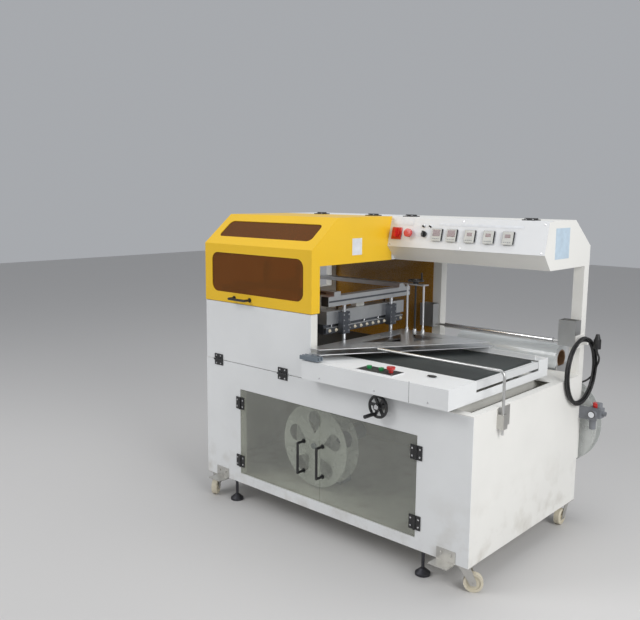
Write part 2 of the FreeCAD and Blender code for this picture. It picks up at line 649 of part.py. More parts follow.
def fascia():
    length = "%s - %s - 2 * play" % (CONSOLE_RIGHT, TOWER_RIGHT)
    start = "%s + play" % TOWER_RIGHT
    leaning = prism("yz", [
        (HINGE_LINE, "hood_top"), ("%s - fascia_run" % HINGE_LINE, "fascia_bottom"),
        ("%s - fascia_run + skin" % HINGE_LINE, "fascia_bottom"), ("%s + skin" % HINGE_LINE,
                                                                   "hood_top - skin"),
        ("%s + %d" % (HINGE_LINE, FLANGE), "hood_top - skin"), ("%s + %d" % (HINGE_LINE, FLANGE),
                                                                "hood_top")],
        start, length, "FasciaSheet")
    holes = []
    instruments = []
    for x in METER_X:
        left = "(%s + %d)" % (TOWER_RIGHT, x)
        holes.append(on_fascia(block(0, 0, 0, METER, "20", METER), left, CONTROL_SHARE - 0.15, 10))
        bezel = block("-4", "-8", "-4", METER + 8, "8", METER + 8)
        case = block("play", "0", "play", "%d - 2 * play" % METER, "50", "%d - 2 * play" % METER)
        instruments.append(on_fascia(fuse([bezel, case]), left, CONTROL_SHARE - 0.15, 0.05))
    for x in CONTROL_X.values():
        bore = rod("y", 0, 0, 0, "%d + running_fit" % SPINDLE, "20")
        holes.append(on_fascia(bore, "(%s + %d)" % (TOWER_RIGHT, x), CONTROL_SHARE, 10))
    keep(cut(leaning, holes), "console_fascia")
    for x in ("(%s + 90)" % TOWER_RIGHT, "(%s - 101)" % CONSOLE_RIGHT):
        instruments.append(hinge(x, "(%s + %d + door_gap / 2)" % (HINGE_LINE, FLANGE),
                                 "(hood_top + %s)" % BARREL, -Y_AXIS, -Z_AXIS))
    keep(group(instruments), "fascia_fittings")


def console_controls():
    """Rotary switch, emergency stop and selector, each on a spindle through the fascia."""
    def spindle():
        return rod("y", 0, "-2", 0, SPINDLE, "30")

    switch = fuse([spindle(), rod("y", 0, "-12", 0, "20", "11"), block("-6", "-26", "-20", "12", "16", "40")])
    stop_neck = rod("y", 0, "-14", 0, "11", "8")
    stop_spindle = rod("y", 0, "-8", 0, SPINDLE, "36")
    stop = fuse([stop_spindle, stop_neck, rod("y", 0, "-26", 0, "stop_radius + 2", "13")])
    selector = fuse([spindle(), rod("y", 0, "-9", 0, "14", "8"), block("-4", "-20", "-14", "8", "12", "28")])
    for label, item in (("main_switch", switch), ("console_stop", stop), ("selector_knob", selector)):
        keep(on_fascia(item, "(%s + %d)" % (TOWER_RIGHT, CONTROL_X[label]), CONTROL_SHARE, 0), label)


# ---------------------------------------------------------------- sealing jaw
JAW_RIGHT = "(%s - 25)" % TOWER_RIGHT
JAW_LEFT = "(%s - jaw_width)" % JAW_RIGHT
JAW_FRONT = "(%s + 200)" % TABLE_FRONT
JAW_END = "(%s + 80)" % LEFT
JAW_ROW = "(%s + jaw_width / 2)" % JAW_FRONT
JAW_ROD_X = "(%s + 15)" % JAW_RIGHT
JAW_ROD_Y = ("(%s + 105)" % JAW_FRONT, "(%s + 465)" % JAW_FRONT)
CYLINDER_X = ("(%s + 200)" % JAW_END, "(%s - 140)" % JAW_LEFT)
CYLINDER_ROD = 7
JAW_BASE_TOP = "(anvil_height - 30)"
JAW_BASE_BOTTOM = "(anvil_height - 60)"
JAW_REACH = "(%s - %s)" % (JAW_LEFT, JAW_END)
PROFILE_TOP = "(profile_bottom + profile)"


def jaw_legs(z, height, width, clearance="0"):
    """The L of a jaw: a leg along Y at the infeed side and one along X at the front."""
    inset = "(jaw_width / 2 - (%s) / 2)" % width
    along_y = block("%s + %s" % (JAW_LEFT, inset), "%s + %s" % (JAW_FRONT, clearance), z, width,
                    "jaw_length - %s" % clearance, height)
    along_x = block(JAW_END, "%s + %s" % (JAW_FRONT, inset), z, "%s + %s - play" % (JAW_REACH, inset), width,
                    height)
    return [along_y, along_x]


def sealing_jaw():
    wall = "skin"
    hulls = jaw_legs("jaw_bottom", "jaw_height", "jaw_width")
    bores = [block("%s + %s" % (JAW_LEFT, wall), "%s + %s" % (JAW_FRONT, wall), "jaw_bottom + %s" % wall,
                   "jaw_width - 2 * %s" % wall, "jaw_length - 2 * %s" % wall, "jaw_height - 2 * %s" % wall),
             block("%s + %s" % (JAW_END, wall), "%s + %s" % (JAW_FRONT, wall), "jaw_bottom + %s" % wall,
                   "%s - 3 * %s" % (JAW_REACH, wall), "jaw_width - 2 * %s" % wall,
                   "jaw_height - 2 * %s" % wall)]
    beams = [cut(hull, [bore]) for hull, bore in zip(hulls, bores)]
    for x in CYLINDER_X:
        beams.append(rod("z", x, JAW_ROW, "(jaw_bottom + jaw_height)", CYLINDER_ROD, "160"))
    keep(group(beams), "jaw_carrier")

    knives = jaw_legs("(jaw_bottom - knife_height)", "knife_height", "knife_width")
    block_bottom = "(jaw_bottom - knife_height)"
    for y in JAW_ROD_Y:
        slide = block(JAW_RIGHT, "%s - 25" % y, block_bottom, "30", "50", "knife_height + 55")
        bore = rod("z", JAW_ROD_X, y, "%s - 1" % block_bottom, "guide_rod_radius + running_fit",
                   "knife_height + 60")
        knives.append(cut(slide, [bore]))
    keep(group(knives), "knife_bar")

    lower = jaw_legs(JAW_BASE_TOP, "anvil_height - %s" % JAW_BASE_TOP, "44")
    base_right = "(%s + 30)" % JAW_RIGHT
    height = "%s - %s" % (JAW_BASE_TOP, JAW_BASE_BOTTOM)
    lower.append(block(JAW_LEFT, JAW_FRONT, JAW_BASE_BOTTOM, "%s - %s" % (base_right, JAW_LEFT),
                       "jaw_length", height))
    lower.append(block(JAW_END, JAW_FRONT, JAW_BASE_BOTTOM, JAW_REACH, "jaw_width", height))
    foot_height = "%s - %s" % (JAW_BASE_BOTTOM, DECK_UNDER)
    for x, y in ((CROSS_RAIL, JAW_FRONT), (CROSS_RAIL, "%s + jaw_length - 60" % JAW_FRONT), (FAR_RAIL,
                                                                                             JAW_FRONT)):
        lower.append(block(x, y, DECK_UNDER, "tube", "60", foot_height))
    keep(group(lower), "lower_jaw")


def guide_frame():
    """Aluminium frame over the jaw, the jaw's two columns and its two air cylinders."""
    right_x = "(%s - profile / 2)" % JAW_ROD_X
    bars = [block(right_x, "%s - 30" % JAW_FRONT, "profile_bottom", "profile", "jaw_length + 30", "profile"),
            block(INNER_LEFT, "%s - 30" % JAW_FRONT, "profile_bottom", "profile", "jaw_length + 30",
                  "profile")]
    for y in JAW_ROD_Y:
        bars.append(rod("z", JAW_ROD_X, y, JAW_BASE_TOP, "guide_rod_radius",
                        "profile_bottom - " + JAW_BASE_TOP))
        bars.append(block(INNER_LEFT, "%s - 20" % y, "(hood_bottom - skin)", "tube", "40",
                          "profile_bottom - hood_bottom + skin"))
    flat = 20
    span = "%s + profile - %s" % (right_x, INNER_LEFT)
    front_bar = block(INNER_LEFT, "%s - profile / 2" % JAW_ROW, PROFILE_TOP, span, "profile", flat)
    bores = []
    for x in CYLINDER_X:
        bores.append(rod("z", x, JAW_ROW, "jaw_bottom + jaw_height", "%d + running_fit" % CYLINDER_ROD,
                         "190"))
    barrels = [rod("z", x, JAW_ROW, "(%s + %d)" % (PROFILE_TOP, flat), "22", "110") for x in CYLINDER_X]
    bars.append(cut(fuse([front_bar] + barrels), bores))
    bars.append(block(INNER_LEFT, "(%s + jaw_length - 2 * profile)" % JAW_FRONT, PROFILE_TOP, span,
                      "profile", flat))
    return keep(group(bars), "guide_frame")


# ---------------------------------------------------------------- conveyors
def belt_loop(left, right, front, width, top):
    """An endless flat belt round two end rollers, with its rollers' axis height."""
    outer = "(roller_radius + belt_sheet)"
    axis_z = "(%s - %s)" % (top, outer)
    first = "(%s + %s)" % (left, outer)
    last = "(%s - %s)" % (right, outer)

    def stadium(radius, start, length):
        pieces = [block(first, start, "%s - %s" % (axis_z, radius), "%s - %s" % (last, first), length,
                        "2 * %s" % radius)]
        for x in (first, last):
            pieces.append(rod("y", x, start, axis_z, radius, length))
        return fuse(pieces)

    loop = cut(stadium(outer, front, width), [stadium("roller_radius", "%s - 1" % front, "%s + 2" % width)])
    return loop, first, last, axis_z


def conveyor_frame(first, last, front, width, axis_z):
    """Two rollers, the slider bed inside the belt and a rail on each side."""
    pieces = []
    for x in (first, last):
        pieces.append(rod("y", x, "%s - 5" % front, axis_z, "roller_radius - running_fit", "%s + 10" % width))
    bed_start = "(%s + roller_radius + 4)" % first
    pieces.append(block(bed_start, "%s - 5" % front, "(%s + roller_radius - 8)" % axis_z,
                        "%s - roller_radius - 4 - %s" % (last, bed_start), "%s + 10" % width, "8 - play"))
    rail_start = "(%s - roller_radius)" % first
    for y in ("(%s - 12)" % front, "(%s + %s + 5)" % (front, width)):
        pieces.append(block(rail_start, y, "(%s - roller_radius - 4)" % axis_z,
                            "%s + roller_radius - %s" % (last, rail_start), "7", "2 * roller_radius + 2"))
    return pieces


OUTFEED_RIGHT = "(%s - 4)" % JAW_LEFT
OUTFEED_LEFT = "(%s + 6)" % LEFT
OUTFEED_FRONT = "(%s + jaw_width + 16)" % JAW_FRONT
OUTFEED_WIDTH = "(%s - %s)" % (BELT_REAR, OUTFEED_FRONT)
BELT_TOP = "(table_top - 3)"


def outfeed():
    loop, first, last, axis_z = belt_loop(OUTFEED_LEFT, OUTFEED_RIGHT, OUTFEED_FRONT, OUTFEED_WIDTH, BELT_TOP)
    keep(loop, "outfeed_belt")
    pieces = conveyor_frame(first, last, OUTFEED_FRONT, OUTFEED_WIDTH, axis_z)
    rail_under = "(%s - roller_radius - 4)" % axis_z
    for x in ("(%s + 20)" % INNER_LEFT, "(%s - 60)" % OUTFEED_RIGHT):
        pieces.append(block(x, "(%s - 12)" % OUTFEED_FRONT, "(%s - 25)" % rail_under, "25",
                            OUTFEED_WIDTH + " + 24",
                            "25"))
    for y in ("(%s - 12)" % OUTFEED_FRONT, "(%s + %s - 13)" % (OUTFEED_FRONT, OUTFEED_WIDTH)):
        for x in (FAR_RAIL, CROSS_RAIL):
            leg = block("(%s + 5)" % x, y, DECK_UNDER, "25", "25", "%s - 25 - %s" % (rail_under, DECK_UNDER))
            pieces.append(leg)
        pieces.append(block("(%s + 20)" % INNER_LEFT, y, "(%s - 37)" % rail_under,
                            "%s + 30 - %s - 20" % (CROSS_RAIL, INNER_LEFT), "25", "12"))
    keep(group(pieces), "outfeed_conveyor")


# ---------------------------------------------------------------- lifting table
BUTTON_PLATE = (285, 190, 85)
BUTTON_X = {"start_button": 325, "run_button": 388, "table_stop": 437}
BUTTON_Y = "(%s + 66)" % TABLE_FRONT
BUTTON_PLATE_TOP = "(table_top + 4)"
SLOT_MARGIN = 14


def table():
    hull = block(TABLE_LEFT, TABLE_FRONT, SKIRT_BOTTOM, "%s - %s" % (TABLE_RIGHT, TABLE_LEFT), "table_width",
                 "skirt_height")
    room = block("(%s + skin)" % TABLE_LEFT, "(%s + skin)" % TABLE_FRONT, "(%s - 1)" % SKIRT_BOTTOM,
                 "%s - %s - 2 * skin" % (TABLE_RIGHT, TABLE_LEFT), "table_width - 2 * skin",
                 "skirt_height + 1 - skin")
    slot = block("(%s - 1)" % TABLE_LEFT, "(%s - %d)" % (BELT_FRONT, SLOT_MARGIN), "(%s + 35)" % SKIRT_BOTTOM,
                 "%s - %s + 2" % (TABLE_RIGHT, TABLE_LEFT), "belt_width + 2 * %d" % SLOT_MARGIN,
                 "skirt_height")
    left, length, depth = BUTTON_PLATE
    plate = block("(%s + %d)" % (TABLE_LEFT, left), "(%s - %d / 2)" % (BUTTON_Y, depth), "table_top",
                  length, depth,
                  "4")
    bores = [rod("z", "(%s + %d)" % (TABLE_LEFT, x), BUTTON_Y, "(table_top - 10)",
                 "button_radius - 2 + running_fit", "20") for x in BUTTON_X.values()]
    keep(cut(fuse([hull, plate]), [room, slot] + bores), "table_cover")

    loop, first, last, axis_z = belt_loop("(%s + 2)" % TABLE_LEFT, "(%s - 24)" % TABLE_RIGHT, BELT_FRONT,
                                          "belt_width", BELT_TOP)
    keep(loop, "infeed_belt")
    pieces = conveyor_frame(first, last, BELT_FRONT, "belt_width", axis_z)
    rail_under = "(%s - roller_radius - 4)" % axis_z
    bearer_bottom = "(%s - 12)" % rail_under
    for x in LEG_X:
        pieces.append(block("(%s - 12)" % x, "(%s + skin)" % TABLE_FRONT, bearer_bottom, "24",
                            "table_width - 2 * skin", "12"))
        for y in LEG_Y:
            pieces.append(rod("z", x, y, "(deck_height - 180)", LEG_RADIUS,
                              "%s - deck_height + 180" % bearer_bottom))
    # nose strip behind the infeed end of the belt, and the side guide along its rear edge
    pieces.append(block("(%s - 20)" % TABLE_RIGHT, "(%s - 12)" % BELT_FRONT, rail_under, "18",
                        "belt_width + 24", "30"))
    for y in ("(%s - 12)" % BELT_FRONT, "(%s + 5)" % BELT_REAR):
        pieces.append(block("(%s)" % last, y, rail_under, "%s - 20 - %s" % (TABLE_RIGHT, last), "7", "6"))
    guide_left = "(%s + 365)" % TABLE_LEFT
    pieces.append(block(guide_left, "(%s + %d)" % (BELT_REAR, SLOT_MARGIN), "table_top",
                        "%s - 20 - %s" % (TABLE_RIGHT, guide_left), "14", "18"))
    keep(group(pieces), "conveyor_bed")


def table_buttons():
    for label, x in BUTTON_X.items():
        place = "(%s + %d)" % (TABLE_LEFT, x)
        pieces = [rod("z", place, BUTTON_Y, "(table_top - 8)", "button_radius - 2", "20")]
        if label == "table_stop":
            pieces.append(rod("z", place, BUTTON_Y, "(%s + 8)" % BUTTON_PLATE_TOP, "button_radius", "8"))
            pieces.append(rod("z", place, BUTTON_Y, "(%s + 15)" % BUTTON_PLATE_TOP, "stop_radius", "9"))
        else:
            pieces.append(rod("z", place, BUTTON_Y, "(%s + 5)" % BUTTON_PLATE_TOP, "button_radius", "8"))
        keep(fuse(pieces), label)


# ---------------------------------------------------------------- film path
PLATE_LEFT = "(%s + 5)" % TABLE_LEFT
PLATE_REAR = "(%s + 18)" % BELT_REAR
PLATE_FRONT = "(%s - plate_length)" % PLATE_REAR
UPPER_PLATE = "(lower_plate_height + plate_sheet + plate_gap)"
ROD_ROW = "(%s - 20)" % PLATE_REAR
ROD_X = ["(%s + 43 + %d * film_rod_pitch)" % (PLATE_LEFT, index) for index in range(3)]
ROD_TOP = "(lower_plate_height + 257)"


def folding_plates():
    """Two stacked right triangles. The film turns from -Y to -X round their long edges."""
    def triangle(z, rear):
        return prism("xy", [
            (PLATE_LEFT, rear), (PLATE_LEFT, PLATE_FRONT), ("%s + plate_toe" % PLATE_LEFT, PLATE_FRONT),
            ("%s + plate_reach" % PLATE_LEFT, PLATE_REAR), ("%s + plate_reach" % PLATE_LEFT, rear)],
            z, "plate_sheet", "FilmPlate")

    def windows(z):
        inner = "%s + plate_leg" % PLATE_LEFT
        first = [(inner, "%s - 0.63 * plate_length" % PLATE_REAR),
                 ("%s + 0.25 * plate_reach" % inner, "%s - 0.41 * plate_length" % PLATE_REAR),
                 (inner, "%s - 0.18 * plate_length" % PLATE_REAR)]
        second = [("%s + 0.09 * plate_reach" % inner, "%s - plate_leg" % PLATE_REAR),
                  ("%s + 0.32 * plate_reach" % inner, "%s - 0.34 * plate_length" % PLATE_REAR),
                  ("%s + 0.44 * plate_reach" % inner, "%s - plate_leg" % PLATE_REAR)]
        return [prism("xy", corners, "%s - 1" % z, "plate_sheet + 2", "FilmPlateWindow")
                for corners in (first, second)]

    upper = cut(triangle(UPPER_PLATE, "(%s + 0.1)" % PLATE_REAR), windows(UPPER_PLATE))
    bosses = [rod("z", x, ROD_ROW, UPPER_PLATE, "film_rod_radius + 4", "16") for x in ROD_X]
    bores = [rod("z", x, ROD_ROW, "%s - 1" % UPPER_PLATE, "film_rod_radius + running_fit",
                 "20") for x in ROD_X]
    keep(cut(fuse([upper] + bosses), bores), "upper_film_plate")

    rear = "(%s + 40)" % PLATE_REAR
    lower = cut(triangle("lower_plate_height", rear), windows("lower_plate_height"))
    under = "lower_plate_height - table_top"
    pieces = [lower]
    for x, y in (("%s + 15" % PLATE_LEFT, "%s + 15" % PLATE_FRONT), ("%s + 15" % PLATE_LEFT,
                                                                     "%s + 25" % PLATE_REAR),
                 ("%s + plate_reach - 20" % PLATE_LEFT, "%s + 25" % PLATE_REAR)):
        pieces.append(rod("z", x, y, "table_top", "8", under))
    above = "(lower_plate_height + plate_sheet)"
    for x in (ROD_X[0], ROD_X[2]):
        pieces.append(rod("z", x, ROD_ROW, above, "film_rod_radius", "%s - %s" % (ROD_TOP, above)))
    top = block("%s - 15" % ROD_X[0], "%s - 20" % ROD_ROW, ROD_TOP, "2 * film_rod_pitch + 30", "40", "6")
    pieces.append(cut(top, [rod("z", ROD_X[1], ROD_ROW, "%s - 1" % ROD_TOP, "film_rod_radius + running_fit",
                                "8")]))
    keep(group(pieces), "lower_film_plate")

    # handwheel with its lead screw, turning in the top plate
    screw_bottom = "(%s + play)" % above
    wheel_z = "(%s + 22)" % ROD_TOP
    spokes = [block("%s - film_wheel_radius + 3" % ROD_X[1], "%s - 5" % ROD_ROW, "%s - 4" % wheel_z,
                    "2 * film_wheel_radius - 6", "10", "8"),
              block("%s - 5" % ROD_X[1], "%s - film_wheel_radius + 3" % ROD_ROW, "%s - 4" % wheel_z, "10",
                    "2 * film_wheel_radius - 6", "8")]
    wheel = fuse([rod("z", ROD_X[1], ROD_ROW, screw_bottom, "film_rod_radius", "%s + 4 - %s" % (wheel_z,
                                                                                                screw_bottom)),
                  rod("z", ROD_X[1], ROD_ROW, "(%s + 6 + play)" % ROD_TOP, "14", "20"),
                  ring("z", ROD_X[1], ROD_ROW, wheel_z, "film_wheel_radius - 5", "5"),
                  rod("z", "%s + film_wheel_radius - 6" % ROD_X[1], ROD_ROW, wheel_z, "4", "40")] + spokes)
    keep(wheel, "film_handwheel")


BRACKET_FRONT = "(%s - 60)" % REAR
BRACKET_BOTTOM = "(film_height + 88)"
BRACKET_HEIGHT = 120
SHAFT_Y = "(%s - 30)" % REAR
SHAFT_Z = "(%s + 14)" % BRACKET_BOTTOM
BRACKET_WIDTH = 82
LEFT_BRACKET = "(%s - 38)" % TOWER_RIGHT
RIGHT_BRACKET = "(%s - %d)" % (CONSOLE_RIGHT, BRACKET_WIDTH)
ROLL_LEFT = "(%s + 145)" % TABLE_LEFT
ROLL_Y = "(%s + film_setback)" % REAR
CRADLE_DROP = "sqrt((film_radius + cradle_radius + play) * (film_radius + cradle_radius + play)" \
              " - cradle_spread * cradle_spread)"


def film_stand():
    """Bracket boxes on the columns with the guide roller's shaft, and the cradle behind."""
    pieces = []
    for x, back in ((LEFT_BRACKET, INNER_REAR), (RIGHT_BRACKET, REAR)):
        depth = "%s - %s" % (back, BRACKET_FRONT)
        box = block(x, BRACKET_FRONT, BRACKET_BOTTOM, BRACKET_WIDTH, depth, BRACKET_HEIGHT)
        inside = block("(%s + skin)" % x, "(%s + skin)" % BRACKET_FRONT, "(%s + skin)" % BRACKET_BOTTOM,
                       "%d - 2 * skin" % BRACKET_WIDTH, depth + " - 2 * skin", BRACKET_HEIGHT)
        pieces.append(cut(box, [inside]))
    shaft_start = "(%s + %d)" % (LEFT_BRACKET, BRACKET_WIDTH)
    pieces.append(rod("x", shaft_start, SHAFT_Y, SHAFT_Z, "guide_shaft", "%s - %s" % (RIGHT_BRACKET,
                                                                                      shaft_start)))
    roller_z = "(film_height - %s)" % CRADLE_DROP
    cheek_bottom = "(%s - 13)" % roller_z
    for x in ("(%s - 8)" % ROLL_LEFT, "(%s + film_width + 4)" % ROLL_LEFT):
        pieces.append(block(x, REAR, cheek_bottom, "4", "film_setback + cradle_spread + 25", "56"))
    for side in ("- cradle_spread", "+ cradle_spread"):
        pieces.append(rod("x", "(%s - 4)" % ROLL_LEFT, "(%s %s)" % (ROLL_Y, side), roller_z, "cradle_radius",
                          "film_width + 8"))
    return keep(group(pieces), "film_stand")


def film_rolls():
    roll = cut(rod("x", ROLL_LEFT, ROLL_Y, "film_height", "film_radius", "film_width"),
               [rod("x", "(%s - 1)" % ROLL_LEFT, ROLL_Y, "film_height", "core_radius + core_wall",
                    "film_width + 2")])
    core = cut(rod("x", ROLL_LEFT, ROLL_Y, "film_height", "core_radius + core_wall", "film_width"),
               [rod("x", "(%s - 1)" % ROLL_LEFT, ROLL_Y, "film_height", "core_radius", "film_width + 2")])
    keep(group([roll, core]), "film_roll")
    start = "(%s + %d + 60)" % (LEFT_BRACKET, BRACKET_WIDTH)
    length = "(%s - 35 - %s)" % (RIGHT_BRACKET, start)
    roller = cut(rod("x", start, SHAFT_Y, SHAFT_Z, "guide_radius", length),
                 [rod("x", "(%s - 1)" % start, SHAFT_Y, SHAFT_Z, "guide_shaft + running_fit",
                      "%s + 2" % length)])
    keep(roller, "guide_roller")


# ---------------------------------------------------------------- reels
REEL_X = -140
REEL_FRONT = "(%s + 120)" % FRONT
HUB_RADIUS = 30
SPOKES = 5


def reel_body(name, label, bore, outer, gap, drops):
    """A reel turned about the body's Y axis, its discs pierced by a ring of teardrops."""
    body = doc.addObject("PartDesign::Body", name)
    sketch = body_sketch(body, "XY_Plane", name + "Profile")
    second = "(reel_sheet + %s)" % gap
    end = "(2 * reel_sheet + %s)" % gap
    outline(sketch, [(bore, "0"), (outer, "0"), (outer, "reel_sheet"), (HUB_RADIUS, "reel_sheet"),
                     (HUB_RADIUS, second), (outer, second), (outer, end), (bore, end)])
    turned = body.newObject("PartDesign::Revolution", name + "Turned")
    turned.Profile = sketch
    turned.ReferenceAxis = (sketch, ["V_Axis"])
    turned.Angle = 360
    if drops:
        drop = body_sketch(body, "XZ_Plane", name + "Drop")
        teardrop(drop, "0.3 * %s" % outer, "0.64 * %s" % outer, "0.2 * %s" % outer)
        pocket = body.newObject("PartDesign::Pocket", name + "Window")
        pocket.Profile = drop
        pocket.Type = "ThroughAll"
        pocket.Midplane = True
        doc.recompute()
        axes = [item for item in body.Origin.OriginFeatures if item.Role == "Y_Axis"]
        pattern = body.newObject("PartDesign::PolarPattern", name + "Windows")
        pattern.Originals = [pocket]
        pattern.Axis = (axes[0], [""])
        pattern.Angle = 360
        pattern.Occurrences = SPOKES
        body.Tip = pattern
    return keep(body, label)


def teardrop(sketch, apex, centre, radius):
    """A drop on the sketch's V axis: a round end joined by tangents to its point."""
    low, high, size = number(apex), number(centre), number(radius)
    half = math.acos(size / (high - low))
    touch = Vector(size * math.sin(half), high - size * math.cos(half), 0)
    mirror = Vector(-touch.x, touch.y, 0)
    point = Vector(0, low, 0)
    circle = Part.Circle(Vector(0, high, 0), Z_AXIS, size)
    sketch.addGeometry(Part.LineSegment(point, touch), False)
    sketch.addGeometry(Part.ArcOfCircle(circle, half - math.pi / 2, 3 * math.pi / 2 - half), False)
    sketch.addGeometry(Part.LineSegment(mirror, point), False)
    sketch.addConstraint(Sketcher.Constraint("Tangent", 0, 2, 1, 1))
    sketch.addConstraint(Sketcher.Constraint("Tangent", 1, 2, 2, 1))
    sketch.addConstraint(Sketcher.Constraint("Coincident", 2, 2, 0, 1))
    sketch.addConstraint(Sketcher.Constraint("PointOnObject", 1, 3, -2))
    sketch.addConstraint(Sketcher.Constraint("PointOnObject", 0, 1, -2))
    for kind, places, expression in (("DistanceY", (0, 1), apex), ("DistanceY", (1, 3), centre),
                                     ("Radius", (1,), radius)):
        index = sketch.addConstraint(Sketcher.Constraint(kind, *places, number(expression)))
        sketch.setExpression("Constraints[%d]" % index, linked(expression))


def reels():
    at(reel_body("WasteReel", "waste_reel", "(reel_shaft + running_fit)", "reel_radius", "reel_gap", True),
       REEL_X, REEL_FRONT, "reel_height")
    at(reel_body("RearReel", "rear_reel", "(reel_shaft + running_fit)", "rear_reel_radius", "55", False),
       REAR_REEL_X, REAR_REEL_Y, "rear_reel_height")


REAR_REEL_X = "(%s - 169)" % RIGHT
REAR_REEL_Y = "(%s + 85)" % REAR


def reel_drive():
    """Gear motor with its stand and shaft for the waste reel, and the rear reel's stub axle."""
    shaft_end = "(%s + 2 * reel_sheet + reel_gap + 60)" % REEL_FRONT
    gearbox_y = "(%s - 30)" % shaft_end
    tray = "(base_height + tube)"
    pieces = [rod("y", REEL_X, "%s - 3" % REEL_FRONT, "reel_height", "reel_shaft",
                  "%s - %s + 3" % (gearbox_y, REEL_FRONT)),
              rod("y", REEL_X, "%s - 10" % REEL_FRONT, "reel_height", "14", "7 - play / 2 + 2.85"),
              block("%d - 50" % REEL_X, gearbox_y, "reel_height - 60", "100", "90", "110"),
              rod("y", REEL_X, "%s + 90" % gearbox_y, "reel_height", "42", "130"),
              block("%d - 60" % REEL_X, "%s + 5" % gearbox_y, tray, "120", "80",
                    "reel_height - 60 - " + tray)]
    axle_end = "(%s + 2 * reel_sheet + 55)" % REAR_REEL_Y
    pieces.append(rod("y", REAR_REEL_X, REAR, "rear_reel_height", "reel_shaft", "%s + 3 - %s" % (axle_end,
                                                                                                 REAR)))
    pieces.append(rod("y", REAR_REEL_X, REAR, "rear_reel_height", "30", "%s - 6 - %s" % (REAR_REEL_Y, REAR)))
    pieces.append(rod("y", REAR_REEL_X, "%s + 0.6" % axle_end, "rear_reel_height", "14", "8"))
    return keep(group(pieces), "reel_drive")


# ---------------------------------------------------------------- fittings
WHEEL_X = "(%s + 395)" % TABLE_LEFT
STUB_RADIUS = 8
ANCHOR_LENGTH = 88
ANCHOR_HEIGHT = 52
ROD_X0 = "(%s + 17)" % RIGHT
ROD_Y0 = "(%s + 190)" % FRONT
ROD_HIGH = "(lower_plate_height + 20)"


def handwheel():
    hub_front = "(%s - 44)" % FRONT
    rim_y = "(%s - 30)" % FRONT
    spokes = []
    for turn in (0, 60, 120):
        spoke = block("-handwheel_radius + 4", "-4", "-6", "2 * handwheel_radius - 8", "8", "12")
        spoke.Placement = Placement(Vector(), Rotation(Y_AXIS, turn))
        for axis, expression in (("x", "-(handwheel_radius - 4) * %.6f" % math.cos(math.radians(turn))),
                                 ("z", "(handwheel_radius - 4) * %.6f" % math.sin(math.radians(turn)))):
            spoke.setExpression("Placement.Base." + axis, linked(expression))
        spokes.append(spoke)
    crank = "(handwheel_radius - 10)"
    solid = fuse([ring("y", 0, 0, 0, "handwheel_radius - 6", "6"), rod("y", 0, "-14", 0, "16", "37"),
                  rod("y", "-%s * 0.5" % crank, "-62", "-%s * 0.866" % crank, "8", "58")] + spokes)
    bored = cut(solid, [rod("y", 0, "-10", 0, "%d + running_fit" % STUB_RADIUS, "40")])
    keep(at(bored, WHEEL_X, "%s + play" % rim_y, "handwheel_height"), "front_handwheel")


def guard_rod():
    """Bent rod over the infeed end of the table, clamped in a bracket on the side panel."""
    bend = 25
    left_end = "(%s + 0.43 * plate_reach)" % PLATE_LEFT
    bottom = "(deck_height - 110)"
    corner = bind(doc.addObject("Part::Torus", "RodBend"), Radius1=bend, Radius2="rod_radius")
    corner.Angle3 = 90
    corner.Placement = Placement(Vector(), Rotation(X_AXIS, 90))
    at(corner, "%s - %d" % (ROD_X0, bend), ROD_Y0, "%s - %d" % (ROD_HIGH, bend))
    upright = rod("z", ROD_X0, ROD_Y0, bottom, "rod_radius", "%s - %d - %s" % (ROD_HIGH, bend, bottom))
    level = rod("x", left_end, ROD_Y0, ROD_HIGH, "rod_radius", "%s - %d - %s" % (ROD_X0, bend, left_end))
    keep(fuse([upright, corner, level]), "guard_rod")


def steel_fittings():
    """Rod bracket, handwheel bearing and the two anchor brackets at the front's foot."""
    bracket_bottom = "(deck_height - 85)"
    plate = block(RIGHT, "%s - 16" % ROD_Y0, bracket_bottom, "4", "96", "82")
    clamp = cut(block("%s + 4" % RIGHT, "%s - 16" % ROD_Y0, bracket_bottom, "26", "32", "60"),
                [rod("z", ROD_X0, ROD_Y0, "%s - 1" % bracket_bottom, "rod_radius + running_fit", "62")])
    bearing = fuse([rod("y", WHEEL_X, "(%s - 6)" % FRONT, "handwheel_height", "22", "6"),
                    rod("y", WHEEL_X, "(%s - 34)" % FRONT, "handwheel_height", STUB_RADIUS, "34")])
    pieces = [plate, clamp, bearing]
    for x in ("(%s + 75)" % LEFT, "(%s - 145)" % RIGHT):
        pieces.append(fuse([
            block(x, "(%s - skin)" % FRONT, "base_height - skin", ANCHOR_LENGTH, "skin", ANCHOR_HEIGHT),
            block(x, "(%s - 62)" % FRONT, "base_height - skin", ANCHOR_LENGTH, "62", "skin")]))
    for label, across, along, heading in CASTERS:
        x, y = caster_place(across, along)
        pieces.append(fuse([block("%s - 35" % x, "%s - 33" % y, PLATE_UNDER, "70", "66", "4"),
                            rod("z", x, y, "%s - 16" % PLATE_UNDER, "axle_radius", "18")]))
    keep(group(pieces), "steel_fittings")


